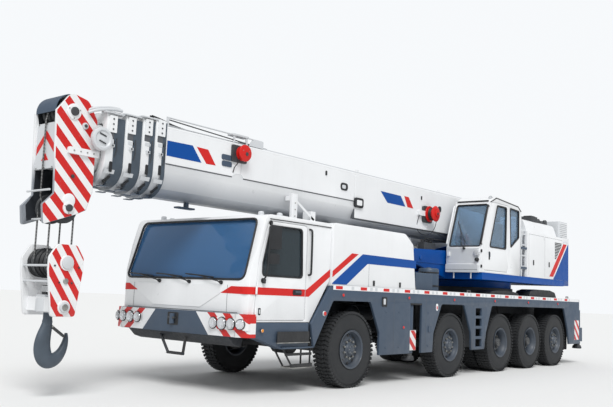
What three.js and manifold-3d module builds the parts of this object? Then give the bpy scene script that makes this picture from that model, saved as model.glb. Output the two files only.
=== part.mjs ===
// Mobile crane: a five-axle truck crane with its boom laid over the cab, in millimetres.
// +X is the vehicle's left, -Y its front and +Z up. Lengths run from the front axle until the last lines,
// where the group moves so that the origin lies on the ground at the middle of the machine.
import * as THREE from "three";
import { mergeVertices } from "three/addons/utils/BufferGeometryUtils.js";
import Module from "manifold-3d";

const wasm = await Module();
wasm.setup();

// ---- driving dimensions ----

const seat = 0.3; // gap between faces that rest on each other
const slideGap = 6; // side clearance of what slides or swings
const pinSides = 24; // of what turns in a round hole

const wheel = {
  radius: 613, // of the tyre, to the flat under it
  width: 315,
  rimRadius: 318,
  outerFace: 1447, // from the middle of the vehicle to the outer side wall
  twinGap: 42,
  sides: 16,
};
const axle = {
  places: [0, 3190, 5380, 6880, 8280],
  twin: [false, false, true, true, false],
  steered: [true, true, false, false, false],
  beamBottom: 535,
  beamTop: 690,
  beamDepth: 140,
  strutPlace: 380,
  strutRadius: 75,
  housingRadius: 172,
};
const kingpin = {
  place: 1000,
  bossRadius: 70,
  armHeight: 60,
  halfWidth: 60,
  webStart: 77,
  webThickness: 46,
};

const chassis = {
  halfWidth: 480,
  wall: 30,
  bottom: 800,
  engineTop: 1330,
  top: 1570,
  front: -2240,
  rear: 9770,
  engineEnd: 1690,
};
const deck = { halfWidth: 1446, thickness: 50, front: -600, rear: 9770 };
deck.top = chassis.top + deck.thickness;
const skirt = {
  outside: 1500,
  thickness: 48,
  bottom: 500,
  archTop: 1388,
  stripBottom: 1560,
};
const outrigger = {
  beamWidth: 160,
  beamBottom: 860,
  beamTop: 1270,
  boxWall: 22,
  boxEnd: 1285,
  beamInner: 1240,
  jackPlace: 1395,
  sleeveRadius: 84,
  sleeveBottom: 500,
  sleeveTop: 1350,
  rodRadius: 58,
  padRadius: 104,
  padHeight: 80,
  padBottom: 370,
  frontPlace: 1885, // between the two front beams
  rearPlace: 9965,
};

const cab = {
  halfWidth: 1460,
  wall: 60,
  floor: 1050,
  front: -2420,
  rear: -620,
  shoulder: 1600, // foot of the sloping windscreen
  roof: 2600,
  headroom: 390, // over the seat backs
  roofFront: -2125,
  cornerRadius: 170,
  cutLow: [-1090, 1050],
  cutHigh: [-640, 1690],
};
const windscreen = {
  bottom: 1640,
  top: cab.roof - 65,
  halfBottom: cab.halfWidth - 125,
  halfTop: cab.halfWidth - 160,
  corner: 110,
  thickness: 8,
};
const door = {
  thickness: 50,
  gap: 7,
  bottom: 1075,
  top: cab.roof - 100,
  rear: -1215,
  frontLow: -2290,
  frontMid: -2250,
  midHeight: 1890,
  frontTop: -2065,
  hingeOut: 4,
  hingeBack: 10,
  hingeRadius: 16,
  hingeLength: 110,
  hingeHeights: [1130, 1440],
};
const cover = { front: -585, rear: 1870, halfWidth: skirt.outside - 20, wall: 40, top: 2620, rearTop: 2440 };
const rest = { place: -470, depth: 120, halfWidth: 240, padHalf: 330, padHeight: 70, slot: 30 };

const ring = { place: 6450, radius: 1100, pedestal: 960, split: 1790, holeRadius: 985, foot: 1640 };
const platform = { bottom: 1930, top: 2075, halfWidth: 1490, front: 4420, rear: 8740, rightFront: 5000 };
const cheek = { inner: 545, thickness: 60 };
const boomPin = { y: 8100, z: 3230, radius: 75 };
const luffFoot = { y: 6300, z: 2370, radius: 60 };
const luffEye = { y: 2150, z: 2610, radius: 105, halfWidth: 85 };
const luffTube = { radius: 150, rodRadius: 95, neckRadius: 72, collar: 175, rodOut: 330 };

const operator = {
  inner: 650,
  outer: 1490,
  wall: 45,
  front: 4400,
  sill: 2600,
  roofFrontLow: [4770, 3600],
  roofFrontTop: [5010, 3735],
  roofRearTop: [6130, 3655],
  rearTop: [6285, 3530],
  rearBottom: 6215,
  hingeY: 5597,
  hingeX: 1487,
  hingeRadius: 14,
  hingeLength: 120,
  hingeHeights: [2250, 3300],
};
const house = { inner: 660, front: 6620, rear: 8730, top: 3130, wall: 30 };
const tank = { front: 5060, rear: 8730, top: 2950 };
const counterweight = { rear: 9210, bottom: 1950, top: 3020, corner: 150 };
const winch = { y: 8440, z: 2450, radius: 190, flange: 290, halfLength: 430, flangeThickness: 30 };

const boom = {
  rear: 8340,
  wall: 16,
  step: 42, // from one section's outside to the next one's
  halfWidth: 430,
  bottom: 2790,
  top: 3800,
  keel: 330, // height of the rounded lower part
  collarGrow: 24,
  collarHeight: 42,
  collarLength: 190,
  collarPitches: [210, 270, 295], // from one section's mouth to the next one's
  front: -3420,
  sections: 5,
  innerRear: 8200,
};
const head = {
  plateInner: 232,
  plateThickness: 40,
  nose: 1570, // how far it and its sheaves are in front of the base section's mouth
  heel: 850,
  sheave: 1200,
  idler: 1220,
  top: 3970,
  sheaveZ: 2450,
  sheaveRadius: 195,
  idlerZ: 3720,
  idlerRadius: 165,
  sheavePlace: 150,
  sheaveWidth: 60,
  pinRadius: 45,
};
head.front = boom.front - head.nose;
head.rear = boom.front - head.heel;
head.sheaveY = boom.front - head.sheave;
head.idlerY = boom.front - head.idler;
const falls = { radius: 13, offset: 170 };
const block = {
  plateInner: 300,
  plateThickness: 42,
  sheaveZ: 1740,
  top: 1980,
  bottom: 1060,
  halfDepth: 250,
  crossTop: 1300,
  shank: 62,
};
const hook = { bowl: 185, thickness: 70, eyeZ: 640, bowlOut: 50 };

// ---- materials ----

function paint(color, roughness, metalness) {
  return new THREE.MeshStandardMaterial({ color, roughness, metalness });
}
const finish = {
  white: paint("#e9ecef", 0.4, 0),
  blue: paint("#0b57a8", 0.4, 0),
  grey: paint("#5c6a7e", 0.5, 0.1),
  dark: paint("#23282d", 0.7, 0.2),
  rubber: paint("#2b2d2f", 0.9, 0),
  steel: paint("#8a9096", 0.35, 0.8),
  slate: paint("#3f4a55", 0.5, 0.5),
  glass: paint("#5f7488", 0.1, 0),
  cloth: paint("#3a4048", 0.9, 0),
};

// ---- solids ----

function toSolid(geometry) {
  const bare = geometry.index ? geometry.toNonIndexed() : geometry.clone();
  bare.deleteAttribute("normal");
  bare.deleteAttribute("uv");
  const merged = mergeVertices(bare, 1e-3);
  const mesh = new wasm.Mesh({
    numProp: 3,
    vertProperties: Float32Array.from(merged.attributes.position.array),
    triVerts: Uint32Array.from(merged.index.array),
  });
  return new wasm.Manifold(mesh);
}

function join(...solids) {
  return solids.reduce((sum, one) => sum.add(one));
}

function cut(base, ...tools) {
  return tools.reduce((rest, tool) => rest.subtract(tool), base);
}

function block3(x0, x1, y0, y1, z0, z1) {
  const geometry = new THREE.BoxGeometry(x1 - x0, y1 - y0, z1 - z0);
  geometry.translate((x0 + x1) / 2, (y0 + y1) / 2, (z0 + z1) / 2);
  return toSolid(geometry);
}

// An outline's points are [across, up] or [across, up, corner radius].
function rounded(points, steps = 2) {
  const result = [];
  points.forEach(([px, py, radius = 0], i) => {
    const corner = new THREE.Vector2(px, py);
    if (radius === 0) {
      result.push(corner);
      return;
    }
    const before = new THREE.Vector2(...points.at(i - 1).slice(0, 2));
    const after = new THREE.Vector2(...points[(i + 1) % points.length].slice(0, 2));
    const toBefore = before.sub(corner).normalize();
    const toAfter = after.sub(corner).normalize();
    const half = Math.acos(toBefore.dot(toAfter)) / 2;
    const reach = radius / Math.tan(half);
    const middle = toBefore.clone().add(toAfter).normalize();
    const centre = corner.clone().addScaledVector(middle, radius / Math.sin(half));
    const start = corner.clone().addScaledVector(toBefore, reach).sub(centre);
    const end = corner.clone().addScaledVector(toAfter, reach).sub(centre);
    const sweep = Math.atan2(start.cross(end), start.dot(end));
    for (let k = 0; k <= steps; k += 1) {
      result.push(start.clone().rotateAround(new THREE.Vector2(), (sweep * k) / steps).add(centre));
    }
  });
  return result;
}

function extrude(points, depth, steps) {
  const shape = new THREE.Shape(rounded(points, steps));
  return new THREE.ExtrudeGeometry(shape, { depth, bevelEnabled: false });
}

// Outline in [y, z], running along X.
function alongX(x0, x1, points, steps) {
  const geometry = extrude(points, x1 - x0, steps);
  const turn = new THREE.Matrix4().makeBasis(
    new THREE.Vector3(0, 1, 0),
    new THREE.Vector3(0, 0, 1),
    new THREE.Vector3(1, 0, 0),
  );
  geometry.applyMatrix4(turn).translate(x0, 0, 0);
  return toSolid(geometry);
}

// Outline in [x, z], running along Y.
function alongY(y0, y1, points, steps) {
  const geometry = extrude(points, y1 - y0, steps);
  geometry.rotateX(Math.PI / 2).translate(0, y1, 0);
  return toSolid(geometry);
}

// Outline in [x, y], running along Z.
function alongZ(z0, z1, points, steps) {
  const geometry = extrude(points, z1 - z0, steps).translate(0, 0, z0);
  return toSolid(geometry);
}

// A round bar between two points.
function bar(from, to, radius, sides = 12, turn = 0) {
  const a = new THREE.Vector3(...from);
  const b = new THREE.Vector3(...to);
  const geometry = new THREE.CylinderGeometry(radius, radius, a.distanceTo(b), sides).rotateY(turn);
  const aim = new THREE.Quaternion().setFromUnitVectors(
    new THREE.Vector3(0, 1, 0),
    b.clone().sub(a).normalize(),
  );
  const middle = a.add(b).multiplyScalar(0.5);
  geometry.applyQuaternion(aim).translate(middle.x, middle.y, middle.z);
  return toSolid(geometry);
}

function roundPin(from, to, radius) {
  return bar(from, to, radius, pinSides);
}

// The hole that such a pin turns in. Its flats face the pin's corners.
function bore(from, to, radius) {
  return bar(from, to, (radius + seat) / Math.cos(Math.PI / pinSides), pinSides, Math.PI / pinSides);
}

// A profile in [radius, x] turned about the X axis through y and z.
// A turn of half a side puts a facet underneath.
function turnedX(y, z, profile, sides, turn = 0) {
  const points = profile.map(([radius, place]) => new THREE.Vector2(radius, place));
  const geometry = new THREE.LatheGeometry(points, sides);
  geometry.rotateY(turn).rotateZ(-Math.PI / 2).translate(0, y, z);
  return toSolid(geometry);
}

// A profile in [radius, z] turned about the vertical through y.
function turnedZ(y, profile, sides) {
  const points = profile.map(([radius, place]) => new THREE.Vector2(radius, place));
  const geometry = new THREE.LatheGeometry(points, sides);
  geometry.rotateX(Math.PI / 2).translate(0, y, 0);
  return toSolid(geometry);
}

const crane = new THREE.Group();

function add(name, material, solid) {
  const result = solid.getMesh();
  const geometry = new THREE.BufferGeometry();
  geometry.setAttribute("position", new THREE.BufferAttribute(Float32Array.from(result.vertProperties), 3));
  geometry.setIndex(new THREE.BufferAttribute(Uint32Array.from(result.triVerts), 1));
  const mesh = new THREE.Mesh(geometry, material);
  mesh.name = name;
  crane.add(mesh);
  return solid;
}

function mirrored(solid) {
  return solid.mirror([1, 0, 0]);
}

const sides = [
  { name: "left", flip: (solid) => solid, sign: 1 },
  { name: "right", flip: mirrored, sign: -1 },
];

// ---- running gear ----

function tyreProfile(outside) {
  const { radius, width, rimRadius } = wheel;
  const grown = radius / Math.cos(Math.PI / wheel.sides);
  const inside = outside - width;
  return [
    [rimRadius, outside - 45],
    [grown - 130, outside],
    [grown, outside - 45],
    [grown, inside + 45],
    [grown - 130, inside],
    [rimRadius, inside + 45],
  ];
}

function singleWheel(y) {
  const { outerFace, rimRadius, width, sides: count } = wheel;
  const inside = outerFace - width;
  const profile = [
    [0, inside + 8],
    [130, inside + 8],
    [130, inside + 120],
    [rimRadius - 40, inside + 120],
    ...tyreProfile(outerFace).reverse(),
    [215, outerFace - 45],
    [150, outerFace + 5],
    [0, outerFace + 20],
  ];
  return turnedX(y, wheel.radius, profile, count, Math.PI / count);
}

function twinWheel(y) {
  const { outerFace, rimRadius, width, twinGap, sides: count } = wheel;
  const nextFace = outerFace - width - twinGap;
  const inside = nextFace - width;
  const profile = [
    [0, inside + 40],
    [150, inside + 40],
    [150, inside + 150],
    [rimRadius - 30, inside + 150],
    ...tyreProfile(nextFace).reverse(),
    ...tyreProfile(outerFace).reverse(),
    [rimRadius - 60, outerFace - 215],
    [190, outerFace - 200],
    [150, outerFace - 120],
    [0, outerFace - 100],
  ];
  return turnedX(y, wheel.radius, profile, count, Math.PI / count);
}

function spindleEnd(twin) {
  const inside = wheel.outerFace - wheel.width;
  return twin ? inside - wheel.twinGap - wheel.width + 40 - seat : inside + 8 - seat;
}

function axleBeam(index) {
  const y = axle.places[index];
  const half = axle.beamDepth / 2;
  const steered = axle.steered[index];
  const end = steered ? kingpin.place : spindleEnd(axle.twin[index]) - 60;
  const { beamBottom, beamTop } = axle;
  const parts = [
    block3(-end, end, y - half, y + half, beamBottom, beamTop),
    bar([-180, y, wheel.radius], [180, y, wheel.radius], axle.housingRadius),
  ];
  for (const side of [-1, 1]) {
    const x = side * axle.strutPlace;
    parts.push(bar([x, y, beamTop - 20], [x, y, chassis.bottom - seat], axle.strutRadius));
    if (steered) {
      const place = side * kingpin.place;
      parts.push(bar([place, y, beamBottom], [place, y, beamTop], kingpin.bossRadius));
    } else {
      const tip = side * spindleEnd(axle.twin[index]);
      parts.push(bar([side * (end - 10), y, wheel.radius], [tip, y, wheel.radius], 75));
    }
  }
  return join(...parts);
}

function knuckle(y) {
  const { place, armHeight, halfWidth, webStart, webThickness } = kingpin;
  const top = axle.beamTop + seat;
  const bottom = axle.beamBottom - seat;
  const webIn = place + webStart;
  const webOut = webIn + webThickness;
  return join(
    block3(place - halfWidth, webOut, y - halfWidth, y + halfWidth, top, top + armHeight),
    block3(place - halfWidth, webOut, y - halfWidth, y + halfWidth, bottom - armHeight, bottom),
    block3(webIn, webOut, y - halfWidth, y + halfWidth, bottom - armHeight, top + armHeight),
    bar([webOut - 5, y, wheel.radius], [spindleEnd(false), y, wheel.radius], 80),
  );
}

axle.places.forEach((y, index) => {
  const number = index + 1;
  add(`axle_${number}`, finish.dark, axleBeam(index));
  for (const side of sides) {
    if (axle.steered[index]) add(`knuckle_${number}_${side.name}`, finish.dark, side.flip(knuckle(y)));
    const rolling = axle.twin[index] ? twinWheel(y) : singleWheel(y);
    add(`wheel_${number}_${side.name}`, finish.rubber, side.flip(rolling));
  }
});

// ---- chassis, deck and outriggers ----

function chassisOutline(inset) {
  const { bottom, engineTop, top, front, rear, engineEnd } = chassis;
  const cabTop = cab.floor - seat;
  const end = inset > 0 ? rear + 500 : rear;
  return [
    [front + inset, bottom + inset],
    [front + inset, cabTop - inset],
    [cab.rear - 60, cabTop - inset],
    [cab.rear + 60, engineTop - inset],
    [engineEnd + inset, engineTop - inset],
    [engineEnd + inset, top - seat - inset],
    [end, top - seat - inset],
    [end, bottom + inset],
  ];
}

function outriggerBoxes() {
  const { beamWidth, beamBottom, beamTop, boxWall, boxEnd, frontPlace, rearPlace } = outrigger;
  const reach = beamWidth + slideGap + 1.5 * boxWall;
  const shells = [];
  const holes = [];
  for (const place of [frontPlace, rearPlace]) {
    const low = beamBottom - boxWall;
    const high = beamTop + slideGap + boxWall;
    shells.push(block3(-boxEnd, boxEnd, place - reach, place + reach, low, high));
    for (const side of [-1, 1]) {
      const near = place + side * (boxWall / 2);
      const far = near + side * (beamWidth + slideGap);
      const [y0, y1] = [near, far].sort((a, b) => a - b);
      holes.push(block3(-boxEnd - 10, boxEnd + 10, y0, y1, beamBottom, beamTop + slideGap));
    }
  }
  return { shells: join(...shells), holes: join(...holes) };
}

function chassisFrame() {
  const { halfWidth, wall } = chassis;
  const outside = alongX(-halfWidth, halfWidth, chassisOutline(0));
  const inside = alongX(wall - halfWidth, halfWidth - wall, chassisOutline(wall));
  const boxes = outriggerBoxes();
  return cut(join(cut(outside, inside), boxes.shells), boxes.holes);
}

add("chassis_frame", finish.grey, chassisFrame());

// The left beam lies in front of the right one in each box.
function beamPlace(boxPlace, sign) {
  return boxPlace - sign * (outrigger.boxWall / 2 + slideGap / 2 + outrigger.beamWidth / 2);
}

function outriggerBeam(y) {
  const { beamWidth, beamBottom, beamTop, beamInner, jackPlace, sleeveRadius, rodRadius } = outrigger;
  const half = beamWidth / 2;
  const beam = block3(-beamInner, jackPlace, y - half, y + half, beamBottom + seat, beamTop);
  const { sleeveBottom, sleeveTop } = outrigger;
  const sleeve = bar([jackPlace, y, sleeveBottom], [jackPlace, y, sleeveTop], sleeveRadius);
  const bore = bar([jackPlace, y, 0], [jackPlace, y, outrigger.sleeveTop - 40], rodRadius + 2);
  return cut(join(beam, sleeve), bore);
}

function outriggerJack(y) {
  const { jackPlace, sleeveTop, sleeveBottom, rodRadius, padRadius, padBottom, padHeight } = outrigger;
  const top = sleeveTop - 40 - slideGap;
  return join(
    bar([jackPlace, y, padBottom + 10], [jackPlace, y, top], rodRadius),
    bar([jackPlace, y, padBottom], [jackPlace, y, padBottom + padHeight], padRadius),
    bar([jackPlace, y, padBottom + 60], [jackPlace, y, sleeveBottom - seat], rodRadius + 18),
  );
}

for (const [end, place] of [["front", outrigger.frontPlace], ["rear", outrigger.rearPlace]]) {
  for (const side of sides) {
    const y = beamPlace(place, side.sign);
    add(`outrigger_beam_${end}_${side.name}`, finish.grey, side.flip(outriggerBeam(y)));
    add(`outrigger_jack_${end}_${side.name}`, finish.steel, side.flip(outriggerJack(y)));
  }
}

function deckPlate() {
  const { halfWidth, front, rear, top } = deck;
  const plate = block3(-halfWidth, halfWidth, front, rear, chassis.top, top);
  const ringHole = bar([0, ring.place, 0], [0, ring.place, top + 10], ring.holeRadius, 24);
  const engineHole = block3(-560, 560, front + 70, chassis.engineEnd, 0, top + 10);
  return cut(plate, ringHole, engineHole);
}

add("deck", finish.grey, deckPlate());

function arch(y0, y1, shoulder, foot, kneeZ) {
  return [
    [y0 - foot, skirt.bottom],
    [y0 - shoulder, kneeZ],
    [y0, skirt.archTop, 60],
    [y1, skirt.archTop, 60],
    [y1 + shoulder, kneeZ],
    [y1 + foot, skirt.bottom],
  ];
}

function skirtOutline() {
  const { bottom, archTop } = skirt;
  const top = deck.top;
  const slot = [outrigger.frontPlace - 195, outrigger.frontPlace + 195];
  return [
    [-640, top],
    [-1085, cab.floor - 20],
    [-1000, 670],
    [-560, archTop, 60],
    [460, archTop, 60],
    [740, 870],
    [740, bottom],
    [slot[0], bottom],
    [slot[0], archTop],
    [slot[1], archTop],
    [slot[1], bottom],
    ...arch(2790, 3670, 290, 320, 850),
    ...arch(4860, 8760, 250, 330, 850),
    [deck.rear, bottom],
    [deck.rear, top],
  ];
}

function sideSkirt() {
  const { outside, thickness } = skirt;
  const inner = outside - thickness;
  let plate = alongX(inner, outside, skirtOutline());
  const rungs = { front: 4150, rear: 4410, first: 560, pitch: 207, height: 150, count: 4 };
  for (let i = 0; i < rungs.count; i += 1) {
    const z = rungs.first + i * rungs.pitch;
    plate = cut(plate, block3(inner - 10, outside + 10, rungs.front, rungs.rear, z, z + rungs.height));
  }
  return plate;
}

for (const side of sides) add(`${side.name}_skirt`, finish.grey, side.flip(sideSkirt()));

// ---- carrier cab ----

function cabOutline(inset) {
  const { floor, front, rear, shoulder, roof, roofFront, cutLow, cutHigh } = cab;
  return [
    [cutLow[0] - inset, floor + inset],
    [front + inset, floor + inset],
    [front + inset, shoulder],
    [roofFront + inset, roof - inset, 110 - inset],
    [rear - inset, roof - inset],
    [cutHigh[0] - inset, cutHigh[1]],
  ];
}

function cabPlan(inset) {
  const w = cab.halfWidth - inset;
  const radius = cab.cornerRadius - inset;
  return [
    [w, cab.rear + 10],
    [w, cab.front + inset, radius],
    [-w, cab.front + inset, radius],
    [-w, cab.rear + 10],
  ];
}

function cabHull(inset) {
  const w = cab.halfWidth - inset;
  return alongX(-w, w, cabOutline(inset)).intersect(alongZ(cab.floor, cab.roof, cabPlan(inset)));
}

function doorOutline(grow) {
  const { bottom, top, rear, frontLow, frontMid, midHeight, frontTop } = door;
  return [
    [rear + grow, bottom - grow, 40],
    [rear + grow, top + grow, 60],
    [frontTop - grow, top + grow, 60],
    [frontMid - grow, midHeight],
    [frontLow - grow, bottom - grow, 40],
  ];
}

function windscreenOutline(inset) {
  const { bottom, top, halfBottom, halfTop, corner } = windscreen;
  return [
    [halfBottom - inset, bottom + inset, corner],
    [halfTop - inset, top - inset, corner],
    [inset - halfTop, top - inset, corner],
    [inset - halfBottom, bottom + inset, corner],
  ];
}

// Two outside barrels on the upright line that the door turns about, or the holes that clear them.
function doorHinges(shape, slack) {
  const x = cab.halfWidth + door.hingeOut;
  const y = door.frontLow + door.hingeBack;
  const top = door.hingeLength + slack;
  return join(...door.hingeHeights.map((z) => shape([x, y, z - slack], [x, y, z + top], door.hingeRadius)));
}

function cabShell() {
  const { halfWidth, front, roofFront, rear } = cab;
  const opening = alongY(front - 50, roofFront + 150, windscreenOutline(0));
  const doorway = alongX(-halfWidth - 50, halfWidth + 50, doorOutline(door.gap));
  const rearWindow = alongY(rear - 200, rear + 50, [
    [-700, 1800, 60],
    [700, 1800, 60],
    [700, cab.roof - 220, 60],
    [-700, cab.roof - 220, 60],
  ]);
  const hinges = doorHinges(bore, seat);
  return cut(cabHull(0), cabHull(cab.wall), opening, doorway, rearWindow, hinges, mirrored(hinges));
}

add("cab_shell", finish.white, cabShell());

// The pane fills the opening, set a little back from the cab's skin.
function windscreenPane() {
  const prism = alongY(cab.front - 50, cab.roofFront + 150, windscreenOutline(seat));
  const inner = 24 + windscreen.thickness;
  return cut(prism.intersect(cabHull(24)), cabHull(inner));
}

add("windscreen", finish.glass, windscreenPane());

function cabDoor() {
  const { thickness } = door;
  const outside = cab.halfWidth;
  const panel = alongX(outside - thickness, outside, doorOutline(0));
  const window = alongX(outside - thickness - 10, outside + 10, [
    [-1290, 1710, 60],
    [-1330, door.top - 60, 60],
    [-2030, door.top - 60, 60],
    [-2170, 1890, 40],
    [-2170, 1710, 60],
  ]);
  return join(cut(panel, window), doorHinges(roundPin, 0));
}

for (const side of sides) add(`${side.name}_door`, finish.white, side.flip(cabDoor()));

function cabSeat(x) {
  const base = cab.floor + cab.wall + seat;
  return join(
    block3(x - 250, x + 250, -1700, -1180, base, base + 330),
    alongX(x - 240, x + 240, [
      [-1330, base + 300],
      [-1190, base + 300],
      [-1050, cab.roof - cab.headroom, 40],
      [-1170, cab.roof - cab.headroom, 40],
    ]),
  );
}

function cabInterior() {
  const base = cab.floor + cab.wall + seat;
  const dash = alongX(170 - cab.halfWidth, cab.halfWidth - 170, [
    [-2340, base],
    [-2120, base],
    [-2020, 1560, 40],
    [-2300, 1600],
    [-2340, 1560],
  ]);
  const driver = cab.halfWidth - 640;
  const column = bar([driver, -2140, 1450], [driver, -1900, 1640], 35);
  const rim = bar([driver, -1912, 1630], [driver, -1886, 1651], 225, 16);
  const tunnel = block3(-420, 420, -2150, -1160, base, base + 160);
  const links = block3(-900, 900, -1600, -1300, base, base + 60);
  return join(dash, column, rim, tunnel, links, cabSeat(driver), cabSeat(-driver));
}

add("cab_interior", finish.cloth, cabInterior());

function bumper() {
  const low = 830;
  const high = 1160;
  const floor = cab.floor - slideGap;
  const wrap = [
    [1470, -1110],
    [1470, cab.front - 10, 150],
    [-1470, cab.front - 10, 150],
    [-1470, -1110],
    [-1300, -1110],
    [-1300, cab.front + 180, 40],
    [1300, cab.front + 180, 40],
    [1300, -1110],
  ];
  const sill = [
    [-2600, low],
    [-2250, low],
    [-1700, 660],
    [-1060, 660],
    [-1112, floor],
    [-2600, floor],
  ];
  const band = alongX(-1500, 1500, sill).intersect(alongZ(600, high, wrap));
  const lip = alongZ(floor - 20, high, [
    [1465, cab.front - 6],
    [1300, cab.front - 70, 40],
    [-1300, cab.front - 70, 40],
    [-1465, cab.front - 6],
  ]);
  const face = alongZ(low, floor, [
    [1465, cab.front + 120],
    [1300, cab.front - 70, 60],
    [-1300, cab.front - 70, 60],
    [-1465, cab.front + 120],
  ]);
  const lugs = [-1, 1].map((side) => {
    const edges = [side * 300, side * 380].sort((a, b) => a - b);
    return block3(...edges, cab.front + 80, chassis.front - seat, low, floor);
  });
  const loopFoot = 520;
  const loopRadius = 20;
  const loop = [[-450, -170], [190, 170]].map(([top, foot]) =>
    bar([top, cab.front + 10, low + 20], [foot, cab.front - 20, loopFoot], loopRadius, 10),
  );
  const bottomBar = bar([-185, cab.front - 20, loopFoot], [185, cab.front - 20, loopFoot], loopRadius, 10);
  return join(band, lip, face, ...lugs, ...loop, bottomBar);
}

add("front_bumper", finish.grey, bumper());

// ---- engine and its cover ----

function coverOutline(inset) {
  const { front, rear, top, rearTop } = cover;
  const foot = inset > 0 ? deck.top - 100 : deck.top + seat;
  return [
    [front + inset, foot],
    [front + inset, top - inset, 60],
    [1500 - inset, top - inset, 160],
    [1765 - inset, rearTop, 60],
    [rear - inset, foot],
  ];
}

function engineCover() {
  const w = cover.halfWidth;
  const shell = cut(
    alongX(-w, w, coverOutline(0)),
    alongX(cover.wall - w, w - cover.wall, coverOutline(cover.wall)),
  );
  const gap = rest.slot;
  const slot = block3(
    -rest.halfWidth - gap,
    rest.halfWidth + gap,
    cover.front - 20,
    rest.place + rest.depth / 2 + gap,
    deck.top - 10,
    cover.top + 10,
  );
  return cut(shell, slot);
}

add("engine_cover", finish.white, engineCover());
add("engine_block", finish.dark, block3(-430, 430, -250, 1500, chassis.engineTop, 2250));

function boomRest() {
  const { place, depth, halfWidth, padHalf, padHeight } = rest;
  const top = boom.bottom - 12;
  const y0 = place - depth / 2;
  const y1 = place + depth / 2;
  return join(
    block3(-halfWidth, halfWidth, y0, y1, chassis.engineTop + seat, top - 20),
    block3(-padHalf, padHalf, y0 - 30, y1 + 30, top - padHeight, top),
  );
}

add("boom_rest", finish.white, boomRest());

// ---- slewing ring and turntable ----

add(
  "slew_ring",
  finish.dark,
  turnedZ(
    ring.place,
    [
      [760, chassis.top + seat],
      [ring.pedestal, chassis.top + seat],
      [ring.pedestal, ring.foot],
      [ring.radius, ring.foot],
      [ring.radius, ring.split],
      [760, ring.split],
      [760, chassis.top + seat],
    ],
    24,
  ),
);

function cheekOutline() {
  const { y, z } = boomPin;
  return [
    [3200, 2190],
    [3200, 2490, 60],
    [5300, 2560],
    [6900, 2860],
    [y - 240, z + 130, 120],
    [y + 200, z + 130, 120],
    [8900 - 170, 2700],
    [8900 - 170, platform.bottom + 20],
    [4420, platform.bottom + 20],
  ];
}

function luffBracket(x0, x1) {
  const { y, z } = luffFoot;
  return alongX(x0, x1, [
    [y - 320, platform.top - 10],
    [y - 150, z + 60, 60],
    [y + 150, z + 60, 60],
    [y + 320, platform.top - 10],
  ]);
}

function turntable() {
  const { bottom, top, halfWidth, front, rear, rightFront } = platform;
  const floor = alongZ(bottom, top, [
    [halfWidth, front],
    [halfWidth, rear],
    [-halfWidth, rear],
    [-halfWidth, rightFront],
    [-640, rightFront],
    [-640, front],
  ]);
  const race = bar([0, ring.place, ring.split + seat], [0, ring.place, bottom + 10], ring.radius - 35, 24);
  const outerFace = cheek.inner + cheek.thickness;
  const plates = [
    alongX(cheek.inner, outerFace, cheekOutline()),
    alongX(-outerFace, -cheek.inner, cheekOutline()),
  ];
  const gap = luffTube.collar;
  const brackets = [
    luffBracket(gap + 10, gap + 60),
    luffBracket(-gap - 60, -gap - 10),
  ];
  const { y: footY, z: footZ } = luffFoot;
  const footPin = roundPin([-gap - 60, footY, footZ], [gap + 60, footY, footZ], luffFoot.radius);
  const hubGap = cheek.inner - 5;
  const pin = [
    roundPin([hubGap - 40, boomPin.y, boomPin.z], [outerFace + 15, boomPin.y, boomPin.z], boomPin.radius),
    roundPin([-outerFace - 15, boomPin.y, boomPin.z], [40 - hubGap, boomPin.y, boomPin.z], boomPin.radius),
  ];
  const noseTie = bar([-cheek.inner - 5, 3330, 2300], [cheek.inner + 5, 3330, 2300], 60, 12);
  return join(floor, race, ...plates, ...brackets, footPin, ...pin, noseTie);
}

add("turntable", finish.blue, turntable());

function operatorOutline(inset) {
  const o = operator;
  const foot = platform.top + seat;
  return [
    [o.front + inset, foot + inset],
    [o.front + inset, o.sill],
    [o.roofFrontLow[0] + inset, o.roofFrontLow[1]],
    [o.roofFrontTop[0], o.roofFrontTop[1] - inset],
    [o.roofRearTop[0], o.roofRearTop[1] - inset],
    [o.rearTop[0] - inset, o.rearTop[1]],
    [o.rearBottom - inset, foot + inset],
  ];
}

function operatorDoorOutline(grow) {
  return [
    [4490 - grow, 2130 - grow, 30],
    [4490 - grow, 2610],
    [4850 - grow, 3590 + grow, 50],
    [5600 + grow, 3590 + grow, 50],
    [5600 + grow, 2130 - grow, 30],
  ];
}

const quarterWindow = [
  [5700, 3550, 30],
  [5740, 2680, 30],
  [6150, 2930, 30],
  [6150, 3530, 30],
];

function operatorHinges(shape, slack) {
  const { hingeX: x, hingeY: y, hingeRadius, hingeHeights } = operator;
  const top = operator.hingeLength + slack;
  return join(...hingeHeights.map((z) => shape([x, y, z - slack], [x, y, z + top], hingeRadius)));
}

function operatorCab() {
  const { inner, outer, wall, front, sill } = operator;
  const shell = cut(
    alongX(inner, outer, operatorOutline(0)),
    alongX(inner + wall, outer - wall, operatorOutline(wall)),
  );
  const pane = [
    [inner + 60, sill + 20, 50],
    [outer - 60, sill + 20, 50],
    [outer - 60, 3540, 50],
    [inner + 60, 3540, 50],
  ];
  const frontWindow = alongY(front - 50, front + 470, pane);
  const rearWindow = alongY(6050, 6400, [
    [inner + 90, 2750, 50],
    [outer - 90, 2750, 50],
    [outer - 90, 3450, 50],
    [inner + 90, 3450, 50],
  ]);
  const doorway = alongX(outer - wall - 20, outer + 20, operatorDoorOutline(door.gap));
  const quarter = alongX(outer - wall - 20, outer + 20, quarterWindow);
  const innerWindow = alongX(inner - 20, inner + wall + 20, [
    [4640, 2700, 50],
    [4960, 3540, 50],
    [6100, 3500, 50],
    [6100, 2700, 50],
  ]);
  const hinges = operatorHinges(bore, seat);
  return cut(shell, frontWindow, rearWindow, doorway, quarter, innerWindow, hinges);
}

add("operator_cab", finish.white, operatorCab());

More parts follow.
